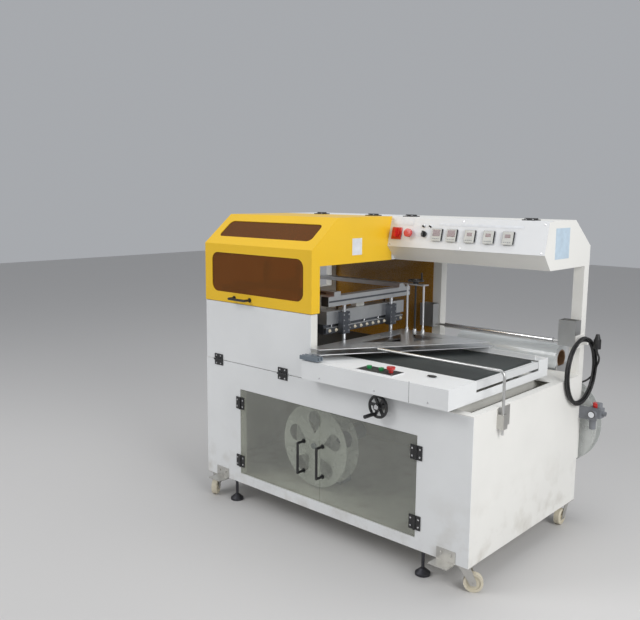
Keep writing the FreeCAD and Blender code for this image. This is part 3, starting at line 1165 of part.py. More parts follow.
def regulator():
    """Air filter and regulator on a bracket at the rear, with the shut-off knob."""
    plate_left = CONSOLE_RIGHT
    body_x = "(%s + 40)" % RIGHT
    body_z = "(deck_height - 195)"
    body_y = "(%s + 12)" % REAR
    pieces = [block(plate_left, REAR, "(%s - 12)" % body_z, "100", "4", "60"),
              fuse([block(body_x, "(%s + 4)" % REAR, body_z, "60", "48", "45"),
                    rod("z", "(%s + 16)" % body_x, "(%s + 16)" % body_y, "%s - 60" % body_z, "15", "62"),
                    rod("z", "(%s + 44)" % body_x, "(%s + 16)" % body_y, "%s + 43" % body_z, "14", "26")]),
              rod("y", "(%s + 30)" % body_x, "(%s - 24)" % REAR, "%s + 22" % body_z, "15", "28"),
              cut(rod("x", "(%s + 60)" % body_x, "(%s + 28)" % REAR, "%s + 22" % body_z, "11", "16"),
                  [rod("x", "(%s + 62)" % body_x, "(%s + 28)" % REAR, "%s + 22" % body_z, "6", "15")])]
    keep(group(pieces), "air_regulator")


# ---------------------------------------------------------------- running gear
CASTERS = (
    ("front_right", 1, -1, 31),
    ("front_left", -1, -1, -57),
    ("rear_right", 1, 1, -88),
    ("rear_left", -1, 1, -180),
)
AXLE_HEIGHT = "(wheel_radius + wheel_lift)"
PLATE_UNDER = "(base_height - 4)"
FEET = (("(%s + foot_inset)" % LEFT, -1), ("(%s - foot_inset - 38)" % RIGHT, -1),
        ("(%s + foot_inset)" % LEFT, 1), ("(%s - foot_inset - 38)" % RIGHT, 1))


def caster_place(across, along):
    return ("%d * (cabinet_length / 2 - caster_inset_x)" % across,
            "%d * (cabinet_depth / 2 - caster_inset_y)" % along)


def casters():
    for label, across, along, heading in CASTERS:
        x, y = caster_place(across, along)
        axle = "(%s)" % AXLE_HEIGHT
        inside = "wheel_width / 2 + 2"
        crown = "(%s - 4)" % PLATE_UNDER
        cheek_shape = [("-22", crown), ("22", crown), ("caster_trail + 12", "%s + 8" % axle),
                       ("caster_trail + 12", "%s - 10" % axle), ("caster_trail - 10", "%s - 10" % axle)]
        pieces = [rod("z", 0, 0, "%s - 8" % PLATE_UNDER, "24", "8 - play"),
                  block("-22", "-(%s) - 3" % inside, "%s - 12" % PLATE_UNDER, "44", "2 * (%s) + 6" % inside,
                        "8")]
        for start in (inside, "-(%s) - 3" % inside):
            pieces.append(prism("xz", cheek_shape, start, "3", "Cheek"))
        pieces.append(rod("y", "caster_trail", "-(%s) - 6" % inside, axle, "axle_radius",
                          "2 * (%s) + 12" % inside))
        fork = cut(fuse(pieces), [rod("z", 0, 0, "%s - 20" % PLATE_UNDER, "axle_radius + running_fit", "22")])
        fork.Placement = Placement(Vector(), Rotation(Z_AXIS, heading))
        keep(at(fork, x, y, 0), "caster_fork_" + label)

        tread = rod("y", "0", "-wheel_width / 2", "0", "wheel_radius", "wheel_width")
        shoulder = number("wheel_width") * 0.22
        rim = doc.addObject("Part::Fillet", "Tread")
        rim.Base = tread
        rim.Edges = [(1, shoulder, shoulder), (3, shoulder, shoulder)]
        bore = rod("y", "0", "-wheel_width / 2 - 1", "0", "axle_radius + running_fit", "wheel_width + 2")
        dishes = [rod("y", "0", start, "0", "wheel_radius - 10", "5")
                  for start in ("-wheel_width / 2 - 1", "wheel_width / 2 - 4")]
        hub = rod("y", "0", "-wheel_width / 2", "0", "axle_radius + 6", "wheel_width")
        wheel = cut(fuse([cut(rim, dishes), hub]), [bore])
        wheel.Placement = Placement(Vector(), Rotation(Z_AXIS, heading))
        reach_x = "%s + caster_trail * %.6f" % (x, math.cos(math.radians(heading)))
        reach_y = "%s + caster_trail * %.6f" % (y, math.sin(math.radians(heading)))
        keep(at(wheel, reach_x, reach_y, axle), "caster_wheel_" + label)


def levelling_feet():
    pieces = []
    for x, along in FEET:
        y = "%d * (cabinet_depth / 2 - 30)" % along
        pieces.append(fuse([rod("z", x, y, 0, "foot_radius", "10"), cone("z", x, y, "10", "foot_radius",
                                                                         "11", "18"),
                            rod("z", x, y, "28", "7", "base_height - 28"),
                            rod("z", x, y, "base_height - 14", "12", "14")]))
    return keep(group(pieces), "levelling_feet")


# ---------------------------------------------------------------- power cord
COIL_X = "(%s + 15)" % RIGHT
COIL_Y = "(%s - 35)" % REAR
COIL_Z = "(deck_height + 25)"
HOOK_RADIUS = 6
HOOK_Z = "(%s + coil_radius - coil_section - %d - play)" % (COIL_Z, HOOK_RADIUS)
GLAND = (740, 525, 660)
GLAND_LENGTH = 18
CORD_ROUTE = [
    (740, 543, 660), (740, 578, 658), (757, 607, 668), (779, 611, 695), (795, 597, 722), (795, 590, 752),
]


def tangent_tube(route, radius):
    """A tube along straight runs joined by arcs, each as large as its two runs allow."""
    edges = []
    last = route[0]
    for before, corner, after in zip(route, route[1:], route[2:]):
        back = (before - corner).normalize()
        ahead = (after - corner).normalize()
        turn = math.pi - back.getAngle(ahead)
        reach = 0.45 * min((before - corner).Length, (after - corner).Length)
        bend = reach / math.tan(turn / 2)
        print("cord bend radius %.0f mm" % bend)
        start = corner + back * reach
        end = corner + ahead * reach
        middle = corner + (back + ahead).normalize() * (bend / math.cos(turn / 2) - bend)
        edges.append(Part.makeLine(last, start))
        edges.append(Part.Arc(start, middle, end).toShape())
        last = end
    edges.append(Part.makeLine(last, route[-1]))
    path = Part.Wire(edges)
    section = Part.Wire(Part.makeCircle(radius, route[0], route[1] - route[0]))
    tube = path.makePipeShell([section], True, False)
    print("cord volume against section times length: %.4f" % (tube.Volume / (math.pi * radius ** 2 * path.Length)))
    return tube


def power_cord():
    cord = doc.addObject("Part::Feature", "Cord")
    cord.Shape = tangent_tube([Vector(*point) for point in CORD_ROUTE], number("cord_radius"))
    keep(cord, "power_cord")
    keep(ring("x", COIL_X, COIL_Y, COIL_Z, "coil_radius", "coil_section"), "cord_coil")
    plug_x = "(%s + coil_section + 17 + play)" % COIL_X
    plug_y = "(%s + 0.6 * coil_radius)" % COIL_Y
    plug_z = "(%s + 0.8 * coil_radius - 24)" % COIL_Z
    plug = fuse([rod("z", plug_x, plug_y, plug_z, "17", "44"),
                 cone("z", plug_x, plug_y, plug_z + " + 44", "14", "8", "24")])
    keep(plug, "power_plug")


def build():
    base_frame()
    front_panel()
    side_panels()
    rear_guard()
    deck_plate()
    doors()
    access_door()
    hood()
    rear_housing()
    console_housing()
    console_columns()
    fascia()
    console_controls()
    sealing_jaw()
    guide_frame()
    outfeed()
    table()
    table_buttons()
    folding_plates()
    film_stand()
    film_rolls()
    reels()
    reel_drive()
    handwheel()
    guard_rod()
    steel_fittings()
    regulator()
    casters()
    levelling_feet()
    power_cord()
    keep(group(HINGE_FIXED), "fixed_hinges")
    doc.recompute()


def write():
    for item in doc.Objects:
        if "Invalid" in item.State or "Error" in item.State:
            raise RuntimeError("failed: %s %s" % (item.Label, item.State))
    os.makedirs("parts", exist_ok=True)
    for item in PARTS:
        if item.Shape.isNull() or not item.Shape.isValid():
            raise RuntimeError("bad shape: " + item.Label)
        item.Shape.exportStep("parts/%s.step" % item.Label)
    print(len(PARTS), "sub-parts written")


build()
write()
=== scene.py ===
import json
import math

import bmesh
import bpy
from mathutils import Euler, Matrix, Vector


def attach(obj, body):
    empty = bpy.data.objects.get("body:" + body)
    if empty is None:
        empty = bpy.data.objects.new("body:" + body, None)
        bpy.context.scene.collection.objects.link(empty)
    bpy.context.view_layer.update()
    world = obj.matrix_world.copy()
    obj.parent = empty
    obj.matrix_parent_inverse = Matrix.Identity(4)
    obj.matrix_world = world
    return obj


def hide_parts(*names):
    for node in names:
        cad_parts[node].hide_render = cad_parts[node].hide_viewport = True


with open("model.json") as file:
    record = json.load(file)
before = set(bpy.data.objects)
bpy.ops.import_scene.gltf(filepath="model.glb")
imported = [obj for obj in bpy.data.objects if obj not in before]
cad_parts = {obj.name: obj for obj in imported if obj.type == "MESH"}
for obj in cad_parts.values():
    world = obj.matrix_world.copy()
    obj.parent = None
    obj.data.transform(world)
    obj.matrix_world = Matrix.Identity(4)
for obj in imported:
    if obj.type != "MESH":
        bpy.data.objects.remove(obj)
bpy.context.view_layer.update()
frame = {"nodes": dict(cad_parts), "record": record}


# ---------------------------------------------------------------- shader nodes
class Socket:
    """A node's output on which arithmetic makes further Math nodes."""

    def __init__(self, tree, output):
        self.tree = tree
        self.output = output

    def math(self, operation, other=0.0, third=0.0):
        node = self.tree.nodes.new("ShaderNodeMath")
        node.operation = operation
        for index, value in enumerate((self, other, third)):
            plug(self.tree, value, node.inputs[index])
        return Socket(self.tree, node.outputs[0])

    def __add__(self, other):
        return self.math("ADD", other)

    def __sub__(self, other):
        return self.math("SUBTRACT", other)

    def __mul__(self, other):
        return self.math("MULTIPLY", other)

    def __lt__(self, other):
        return self.math("LESS_THAN", other)

    def power(self, exponent):
        return self.math("POWER", exponent)

    def wave(self):
        return self.math("SINE")

    def clamp(self, low=0.0, high=1.0):
        """Maps low..high to 0..1 and holds it there."""
        node = self.tree.nodes.new("ShaderNodeMapRange")
        plug(self.tree, self, node.inputs[0])
        node.inputs[1].default_value = low
        node.inputs[2].default_value = high
        return Socket(self.tree, node.outputs[0])


def plug(tree, value, target):
    """Feeds a target input from a socket or a plain value."""
    if isinstance(value, Socket):
        tree.links.new(value.output, target)
    elif isinstance(value, (tuple, list)):
        target.default_value = (*value, 1.0) if len(value) == 3 and len(target.default_value) == 4 else value
    else:
        target.default_value = value


class Finish:
    """One material and the few nodes every surface here is made of."""

    def __init__(self, name):
        self.material = bpy.data.materials.new(name)
        self.material.use_nodes = True
        self.tree = self.material.node_tree
        self.shader = self.tree.nodes["Principled BSDF"]
        self.place = Socket(self.tree, self.tree.nodes.new("ShaderNodeTexCoord").outputs["Object"])
        split = self.tree.nodes.new("ShaderNodeSeparateXYZ")
        plug(self.tree, self.place, split.inputs[0])
        self.x, self.y, self.z = [Socket(self.tree, output) for output in split.outputs]

    def noise(self, scale, detail=3.0, stretch=(1, 1, 1)):
        mapping = self.tree.nodes.new("ShaderNodeMapping")
        mapping.inputs["Scale"].default_value = stretch
        plug(self.tree, self.place, mapping.inputs[0])
        node = self.tree.nodes.new("ShaderNodeTexNoise")
        node.inputs["Scale"].default_value = scale
        node.inputs["Detail"].default_value = detail
        self.tree.links.new(mapping.outputs[0], node.inputs["Vector"])
        return Socket(self.tree, node.outputs[0])

    def mix(self, factor, first, second):
        node = self.tree.nodes.new("ShaderNodeMix")
        node.data_type = "RGBA"
        plug(self.tree, factor, node.inputs[0])
        plug(self.tree, first, node.inputs[6])
        plug(self.tree, second, node.inputs[7])
        return Socket(self.tree, node.outputs[2])

    def set(self, **values):
        for name, value in values.items():
            plug(self.tree, value, self.shader.inputs[name.replace("_", " ")])
        return self

    def bump(self, height, distance, strength=1.0):
        node = self.tree.nodes.new("ShaderNodeBump")
        node.inputs["Distance"].default_value = distance
        node.inputs["Strength"].default_value = strength
        plug(self.tree, height, node.inputs["Height"])
        self.tree.links.new(node.outputs[0], self.shader.inputs["Normal"])
        return self

    def edge_wear(self, radius=0.0015):
        """1 on convex edges and 0 on flats, from a bevelled normal."""
        bevel = self.tree.nodes.new("ShaderNodeBevel")
        bevel.inputs["Radius"].default_value = radius
        geometry = self.tree.nodes.new("ShaderNodeNewGeometry")
        dot = self.tree.nodes.new("ShaderNodeVectorMath")
        dot.operation = "DOT_PRODUCT"
        self.tree.links.new(bevel.outputs[0], dot.inputs[0])
        self.tree.links.new(geometry.outputs["Normal"], dot.inputs[1])
        flat = Socket(self.tree, dot.outputs["Value"])
        return (flat * -1.0 + 1.0).clamp(0.02, 0.3)


GRIME = (0.46, 0.42, 0.35)


def shade(colour, factor):
    return tuple(min(1.0, channel * factor) for channel in colour)


def powder_coat(name, colour, dirt=0.10, rough=0.42):
    """Baked powder paint: fine orange peel, faint clouding, grime low on the cabinet."""
    finish = Finish(name)
    cloud = finish.noise(3.5, 4.0)
    base = finish.mix(cloud.clamp(0.35, 0.7), shade(colour, 1.02), shade(colour, 0.965))
    grime = finish.noise(11.0, 5.0).clamp(0.48, 0.75) * (finish.z * -1.0 + 0.42).clamp(0.0, 0.35) * dirt * 6.0
    soiled = finish.mix(grime, base, GRIME)
    worn = finish.mix(finish.edge_wear() * finish.noise(60.0).clamp(0.5, 0.7) * 0.35, soiled, shade(colour,
                                                                                                    0.72))
    finish.set(Base_Color=worn, Roughness=finish.noise(24.0) * 0.16 + rough - 0.08, Coat_Weight=0.12,
               Coat_Roughness=0.25)
    finish.bump(finish.noise(520.0, 2.0), 0.00018, 0.35)
    return finish.material


def metal(name, colour, rough, grain=(1, 1, 1), grain_scale=300.0, depth=0.00005):
    """Bare metal with a directional grain and slightly uneven polish."""
    finish = Finish(name)
    fine = finish.noise(grain_scale, 4.0, grain)
    tone = finish.noise(9.0, 3.0)
    finish.set(Base_Color=finish.mix(tone.clamp(0.3, 0.7), shade(colour, 1.04), shade(colour, 0.88)),
               Metallic=1.0,
               Roughness=fine * 0.22 + tone * 0.1 + rough - 0.14)
    finish.bump(fine, depth, 0.5)
    return finish.material


def plastic(name, colour, rough, grain=900.0, sheen=0.0):
    """Moulded plastic: mould grain, gloss that varies a little, paler edges."""
    finish = Finish(name)
    tone = finish.noise(30.0, 3.0)
    base = finish.mix(tone.clamp(0.35, 0.7), colour, shade(colour, 0.86))
    pale = tuple(0.75 * channel + 0.12 for channel in colour)
    finish.set(Base_Color=finish.mix(finish.edge_wear(0.0008) * 0.4, base, pale),
               Roughness=finish.noise(140.0) * 0.15 + rough, Coat_Weight=sheen, Coat_Roughness=0.08)
    finish.bump(finish.noise(grain, 2.0), 0.00006, 0.4)
    return finish.material


def black_paint(name):
    finish = Finish(name)
    worn = finish.edge_wear(0.0007) * finish.noise(150.0).clamp(0.45, 0.65)
    dust = finish.noise(40.0, 4.0).clamp(0.5, 0.8) * 0.25
    base = finish.mix(dust, (0.018, 0.018, 0.019), (0.06, 0.058, 0.055))
    finish.set(Base_Color=finish.mix(worn * 0.6, base, (0.22, 0.22, 0.22)),
               Roughness=finish.noise(80.0) * 0.2 + 0.26)
    finish.bump(finish.noise(700.0, 2.0), 0.00008, 0.4)
    return finish.material


def pane(name, tint, clearness, rough=0.04):
    """A thin acrylic sheet: see-through by its tint, with a reflecting skin and faint scratches."""
    finish = Finish(name)
    scratches = finish.noise(160.0, 3.0, (1.0, 1.0, 0.08)).clamp(0.62, 0.75)
    film = finish.noise(5.0, 4.0).clamp(0.35, 0.75)
    finish.set(Base_Color=shade(tint, 0.55), Roughness=scratches * 0.2 + rough, IOR=1.49)
    clear = finish.tree.nodes.new("ShaderNodeBsdfTransparent")
    clear.inputs[0].default_value = (*tint, 1.0)
    blend = finish.tree.nodes.new("ShaderNodeMixShader")
    plug(finish.tree, scratches * -0.05 + film * -0.04 + clearness, blend.inputs[0])
    finish.tree.links.new(finish.shader.outputs[0], blend.inputs[1])
    finish.tree.links.new(clear.outputs[0], blend.inputs[2])
    output = finish.tree.nodes["Material Output"]
    finish.tree.links.new(blend.outputs[0], output.inputs[0])
    return finish.material


def belt_rubber(name):
    """Woven conveyor belt: a fine diamond weave, dusty and worn along its middle."""
    finish = Finish(name)
    pitch = 2200.0
    weave = ((finish.x * pitch).wave() * (finish.y * pitch).wave()).clamp(-1.0, 1.0)
    dust = finish.noise(7.0, 5.0, (0.3, 1.0, 1.0)).clamp(0.4, 0.75)
    finish.set(Base_Color=finish.mix(dust, (0.022, 0.028, 0.028), (0.05, 0.058, 0.056)),
               Roughness=weave * 0.1 + 0.5)
    finish.bump(weave + finish.noise(300.0), 0.0002, 0.5)
    return finish.material


FILM_AXIS_Y = 0.537
FILM_AXIS_Z = 0.768
CORE_OUTSIDE = 0.0432


def wound_film(name):
    """The film roll: milky, glossy, with fine rings of wound layers and a brown core."""
    finish = Finish(name)
    up = finish.z - FILM_AXIS_Z
    back = finish.y - FILM_AXIS_Y
    radius = (up * up + back * back).power(0.5)
    core = radius < CORE_OUTSIDE
    layers = (radius * 9000.0).wave().clamp(-1.0, 1.0)
    streaks = finish.noise(60.0, 3.0, (0.05, 1.0, 1.0))
    roll = finish.mix(layers * 0.35 + streaks * 0.4, (0.86, 0.88, 0.88), (0.68, 0.72, 0.73))
    board = finish.mix(finish.noise(90.0), (0.36, 0.22, 0.12), (0.27, 0.155, 0.08))
    finish.set(Base_Color=finish.mix(core, roll, board), Roughness=core * 0.5 + 0.18,
               Transmission_Weight=(core * -1.0 + 1.0) * 0.12, Coat_Weight=0.3)
    finish.bump(layers + streaks * 2.0, 0.0001, 0.4)
    return finish.material


def milky_plastic(name):
    """Reel discs: translucent plastic with faint turning marks round the axle."""
    finish = Finish(name)
    haze = finish.noise(18.0, 4.0)
    finish.set(Base_Color=finish.mix(haze.clamp(0.35, 0.7), (0.80, 0.82, 0.80), (0.70, 0.72, 0.70)),
               Roughness=haze * 0.1 + 0.22, Transmission_Weight=0.25, IOR=1.45, Coat_Weight=0.2)
    finish.bump(finish.noise(240.0), 0.0001, 0.3)
    return finish.material


def cord_sheath(name):
    finish = Finish(name)
    finish.set(Base_Color=finish.mix(finish.noise(50.0, 4.0).clamp(0.4, 0.8), (0.010, 0.010, 0.011),
                                     (0.035, 0.034, 0.033)), Roughness=finish.noise(90.0) * 0.2 + 0.36)
    finish.bump(finish.noise(900.0), 0.00008, 0.5)
    return finish.material


CREAM = (0.84, 0.83, 0.79)
WHITE = (0.80, 0.81, 0.81)
FINISHES = {
    "frame_paint": powder_coat("frame_paint", (0.78, 0.77, 0.72)),
    "front_paint": powder_coat("front_paint", WHITE),
    "side_paint": powder_coat("side_paint", CREAM),
    "fascia_paint": powder_coat("fascia_paint", (0.79, 0.80, 0.81), dirt=0.0),
    "hood_yellow": powder_coat("hood_yellow", (0.91, 0.56, 0.02), dirt=0.0, rough=0.36),
    "stainless": metal("stainless", (0.62, 0.62, 0.61), 0.32, (0.05, 1, 1)),
    "aluminium_profile": metal("aluminium_profile", (0.70, 0.71, 0.72), 0.36, (1, 0.04, 1)),
    "plate_aluminium": metal("plate_aluminium", (0.80, 0.81, 0.82), 0.34, (0.06, 1, 1)),
    "jaw_aluminium": metal("jaw_aluminium", (0.62, 0.63, 0.64), 0.38, (1, 0.05, 1)),
    "jaw_grey": metal("jaw_grey", (0.16, 0.17, 0.19), 0.42),
    "bed_grey": powder_coat("bed_grey", (0.70, 0.71, 0.71), dirt=0.0),
    "belt": belt_rubber("belt"),
    "foot_steel": metal("foot_steel", (0.09, 0.09, 0.10), 0.48),
    "zinc": metal("zinc", (0.60, 0.59, 0.56), 0.38, (1, 1, 1), 90.0),
    "black_metal": black_paint("black_metal"),
    "motor_grey": powder_coat("motor_grey", (0.16, 0.19, 0.22), dirt=0.0),
    "regulator_grey": plastic("regulator_grey", (0.22, 0.23, 0.25), 0.4),
    "cord_black": cord_sheath("cord_black"),
    "amber_pane": pane("amber_pane", (0.50, 0.20, 0.045), 0.55),
    "door_acrylic": pane("door_acrylic", (0.93, 0.94, 0.90), 0.80),
    "instrument": plastic("instrument", (0.03, 0.03, 0.032), 0.38),
    "switch_black": plastic("switch_black", (0.02, 0.02, 0.02), 0.32),
    "stop_red": plastic("stop_red", (0.62, 0.015, 0.012), 0.22, sheen=0.5),
    "button_green": plastic("button_green", (0.01, 0.30, 0.07), 0.22, sheen=0.5),
    "film_white": wound_film("film_white"),
    "roller_steel": metal("roller_steel", (0.70, 0.70, 0.71), 0.22, (0.05, 1, 1)),
    "reel_plastic": milky_plastic("reel_plastic"),
    "caster_nylon": plastic("caster_nylon", (0.70, 0.64, 0.50), 0.42),
    "switch_red": plastic("switch_red", (0.66, 0.02, 0.015), 0.24, sheen=0.4),
    "ochre_sheet": plastic("ochre_sheet", (0.40, 0.19, 0.015), 0.2, sheen=0.5),
    "handwheel_black": plastic("handwheel_black", (0.016, 0.016, 0.017), 0.26, sheen=0.3),
    "meter_case": plastic("meter_case", (0.66, 0.66, 0.62), 0.36),
    "meter_key": plastic("meter_key", (0.40, 0.41, 0.41), 0.4),
    "display_red": plastic("display_red", (0.10, 0.012, 0.012), 0.12, sheen=0.6),
    "bare_plate": plastic("bare_plate", (0.80, 0.82, 0.85), 0.3),
    "pale_blue_plate": plastic("pale_blue_plate", (0.56, 0.69, 0.80), 0.28),
}


def dress_frame():
    slots = {entry["node"]: entry["material_slot"] for entry in frame["record"]["subparts"]}
    for node, item in frame["nodes"].items():
        material = FINISHES[slots[node]]
        if item.material_slots:
            for slot in item.material_slots:
                slot.material = material
        else:
            item.data.materials.append(material)


# ---------------------------------------------------------------- building pieces
def piece(name, mesh, body, finish, bevel=0.0, smooth=True):
    """Turns a bmesh into an object that rides on a body."""
    bmesh.ops.recalc_face_normals(mesh, faces=mesh.faces)
    data = bpy.data.meshes.new(name)
    mesh.to_mesh(data)
    mesh.free()
    item = bpy.data.objects.new(name, data)
    bpy.context.collection.objects.link(item)
    data.materials.append(FINISHES[finish])
    for face in data.polygons:
        face.use_smooth = smooth
    if bevel:
        edge = item.modifiers.new("Bevel", "BEVEL")
        edge.width = bevel
        edge.segments = 2
        edge.limit_method = "ANGLE"
    if smooth:
        normals = item.modifiers.new("Normals", "WEIGHTED_NORMAL")
        normals.keep_sharp = True
    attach(item, body)
    return item


def add_box(mesh, low, high, turn=None):
    """Adds a box between two corners, optionally turned by a matrix afterwards."""
    low, high = Vector(low), Vector(high)
    made = bmesh.ops.create_cube(mesh, size=1.0)["verts"]
    for vertex in made:
        vertex.co = (low + high) / 2 + Vector(a * b for a, b in zip(vertex.co, high - low))
    if turn:
        bmesh.ops.transform(mesh, matrix=turn, verts=made)
    return made


def add_lathe(mesh, profile, start, axis, sides=32):
    """Adds a turned form. The profile holds (radius, height) along the axis from start."""
    turn = Matrix.Translation(start) @ Vector((0, 0,
                                               1)).rotation_difference(Vector(axis)).to_matrix().to_4x4()
    rings = []
    for radius, height in profile:
        ring = []
        for step in range(sides):
            angle = 2 * math.pi * step / sides
            ring.append(mesh.verts.new(turn @ Vector((radius * math.cos(angle), radius * math.sin(angle),
                                                      height))))
        rings.append(ring)
    for lower, upper in zip(rings, rings[1:]):
        for step in range(sides):
            after = (step + 1) % sides
            mesh.faces.new((lower[step], lower[after], upper[after], upper[step]))
    mesh.faces.new(list(reversed(rings[0])))
    mesh.faces.new(rings[-1])


def add_screw(mesh, place, normal, radius=0.003):
    """A pan-head screw with a hexagon recess, standing on a surface."""
    place, normal = Vector(place), Vector(normal).normalized()
    depth = radius * 0.55
    add_lathe(mesh, [(radius, -0.0003), (radius, depth * 0.6), (radius * 0.82, depth), (radius * 0.42, depth),
                     (radius * 0.40, depth * 0.35)], place, normal, 12)


# ---------------------------------------------------------------- details
UP = Vector((0, 0, 1))
AHEAD = Vector((0, -1, 0))
LEAN = math.atan2(34, 143)
FASCIA_OUT = Vector((0, -math.cos(LEAN), math.sin(LEAN)))
FASCIA_UP = Vector((0, math.sin(LEAN), math.cos(LEAN)))
FASCIA_FOOT = Vector((0, 0.066, 1.294))
FASCIA_TURN = Matrix((Vector((1, 0, 0)), -FASCIA_OUT, FASCIA_UP)).transposed().to_4x4()


def fascia_point(x, height, lift=0.0):
    """A point of the fascia at this distance up its slope, lifted off its face."""
    return Vector((x, 0, 0)) + FASCIA_FOOT + FASCIA_UP * height + FASCIA_OUT * lift


def on_fascia(mesh, x, height, size, lift, thickness):
    """Adds a flat tile that lies along the fascia, its centre at x and height."""
    turn = Matrix.Translation(fascia_point(x, height, lift + thickness / 2)) @ FASCIA_TURN
    half = (size[0] / 2, thickness / 2, size[1] / 2)
    return add_box(mesh, [-value for value in half], half, turn)


def touch(node, start, direction):
    """The first point of a CAD node's surface met from start."""
    item = frame["nodes"][node]
    back = item.matrix_world.inverted()
    hit, place, _, _ = item.ray_cast(back @ Vector(start), (back.to_3x3() @ Vector(direction)).normalized())
    if not hit:
        raise RuntimeError("nothing of %s is met from %s" % (node, start))
    return item.matrix_world @ place


HINGE_SCREW = 0.0042
HINGE_SCREW_STEPS = (0.014, 0.046)
DOOR_HINGES = (0.197, 0.492)
FLAP_HINGES = (-0.713, -0.261)
FIXED_LEAF_X = 0.545
DOOR_LEAF_X = 0.507
FIXED_LEAF_Z = 0.699
FLAP_LEAF_Z = 0.738
TOP_HINGES = (
    (-0.549, "hood", "hood_fittings", 0.082, 0.122),
    (-0.202, "hood", "hood_fittings", 0.082, 0.122),
    (0.006, "fascia", "fascia_fittings", 0.114, 0.154),
    (0.634, "fascia", "fascia_fittings", 0.114, 0.154),
)


def hinge_screws():
    """Two bright screws in each leaf of each butt hinge."""
    front = []
    for side, leaf_body in ((-1, "door_left"), (1, "door_right")):
        fittings = leaf_body.replace("door_", "") + "_door_fittings"
        for low in DOOR_HINGES:
            for z in (low + HINGE_SCREW_STEPS[0], low + HINGE_SCREW_STEPS[1]):
                front.append(("cabinet", "fixed_hinges", (side * FIXED_LEAF_X, z)))
                front.append((leaf_body, fittings, (side * DOOR_LEAF_X, z)))
    for low in FLAP_HINGES:
        for x in (low + HINGE_SCREW_STEPS[0], low + HINGE_SCREW_STEPS[1]):
            front.append(("cabinet", "fixed_hinges", (x, FIXED_LEAF_Z)))
            front.append(("access_flap", "access_door_hinges", (x, FLAP_LEAF_Z)))
    top = []
    for low, body, node, leaf_y, fixed_y in TOP_HINGES:
        for x in (low + HINGE_SCREW_STEPS[0], low + HINGE_SCREW_STEPS[1]):
            top.append((body, node, (x, leaf_y)))
            top.append(("cabinet", "fixed_hinges", (x, fixed_y)))
    by_body = {}
    for body, node, (x, z) in front:
        place = touch(node, (x, -0.6, z), (0, 1, 0))
        add_screw(by_body.setdefault(body, bmesh.new()), place, AHEAD, HINGE_SCREW)
    for body, node, (x, y) in top:
        place = touch(node, (x, y, 1.6), (0, 0, -1))
        add_screw(by_body.setdefault(body, bmesh.new()), place, UP, HINGE_SCREW)
    for body, mesh in by_body.items():
        piece("hinge_screws_" + body, mesh, body, "roller_steel", smooth=False)


METER_X = (0.224, 0.304, 0.399, 0.494, 0.589)
METER_HEIGHT = 0.0645
TOGGLE_X = (0.141, 0.179)
TOGGLE_HEIGHT = 0.104


def fascia_instruments():
    """Temperature controllers and timers with their bezels and windows, and two small toggles."""
    bezels, windows, keys = bmesh.new(), bmesh.new(), bmesh.new()
    for index, x in enumerate(METER_X):
        face = touch("fascia_fittings", fascia_point(x, METER_HEIGHT, 0.2), -FASCIA_OUT)
        lift = (face - fascia_point(x, METER_HEIGHT)).dot(FASCIA_OUT)
        controller = index < 2
        on_fascia(bezels, x, METER_HEIGHT, (0.050, 0.057), lift - 0.0005, 0.004)
        size = (0.040, 0.030) if controller else (0.026, 0.015)
        on_fascia(windows, x, METER_HEIGHT + 0.009, size, lift + 0.003, 0.0012)
        for step in range(4):
            spot = x + (step - 1.5) * 0.0095
            on_fascia(keys, spot, METER_HEIGHT - 0.018, (0.0062, 0.0045), lift + 0.003, 0.0014)
    piece("meter_bezels", bezels, "fascia", "meter_case", bevel=0.0012)
    piece("meter_windows", windows, "fascia", "display_red", bevel=0.0003)
    piece("meter_keys", keys, "fascia", "meter_key", bevel=0.0004)
    toggles, collars = bmesh.new(), bmesh.new()
    for x in TOGGLE_X:
        base = fascia_point(x, TOGGLE_HEIGHT)
        add_lathe(collars, [(0.0075, -0.0005), (0.0075, 0.002), (0.006, 0.003)], base, FASCIA_OUT, 20)
        add_lathe(toggles, [(0.005, 0.002), (0.005, 0.009), (0.0042, 0.0105)], base, FASCIA_OUT, 20)
    piece("toggle_collars", collars, "fascia", "roller_steel")
    piece("toggle_buttons", toggles, "fascia", "switch_black")
    plates = bmesh.new()
    on_fascia(plates, 0.020, 0.122, (0.125, 0.033), 0.0, 0.0008)
    on_fascia(plates, 0.440, 0.116, (0.430, 0.012), 0.0, 0.0006)
    piece("fascia_plates", plates, "fascia", "bare_plate")
    rim = bmesh.new()
    on_fascia(rim, -0.008, METER_HEIGHT, (0.058, 0.058), 0.0, 0.006)
    piece("main_switch_plate", rim, "fascia", "stop_red", bevel=0.004)
    screws = bmesh.new()
    for x in (-0.040, 0.355, 0.750):
        for height in (0.010, 0.133):
            add_screw(screws, fascia_point(x, height), FASCIA_OUT, 0.0035)
    piece("fascia_screws", screws, "fascia", "roller_steel", smooth=False)


def plates():
    """Bare plates: on the hood's right side and on the console's right end."""
    hood = bmesh.new()
    add_box(hood, (-0.0545, -0.200, 1.262), (-0.0533, -0.130, 1.340))
    piece("hood_plate", hood, "hood", "bare_plate", bevel=0.0003)
    console = bmesh.new()
    add_box(console, (0.7645, 0.165, 1.272), (0.7660, 0.300, 1.405))
    piece("console_plate", console, "cabinet", "pale_blue_plate", bevel=0.0003)


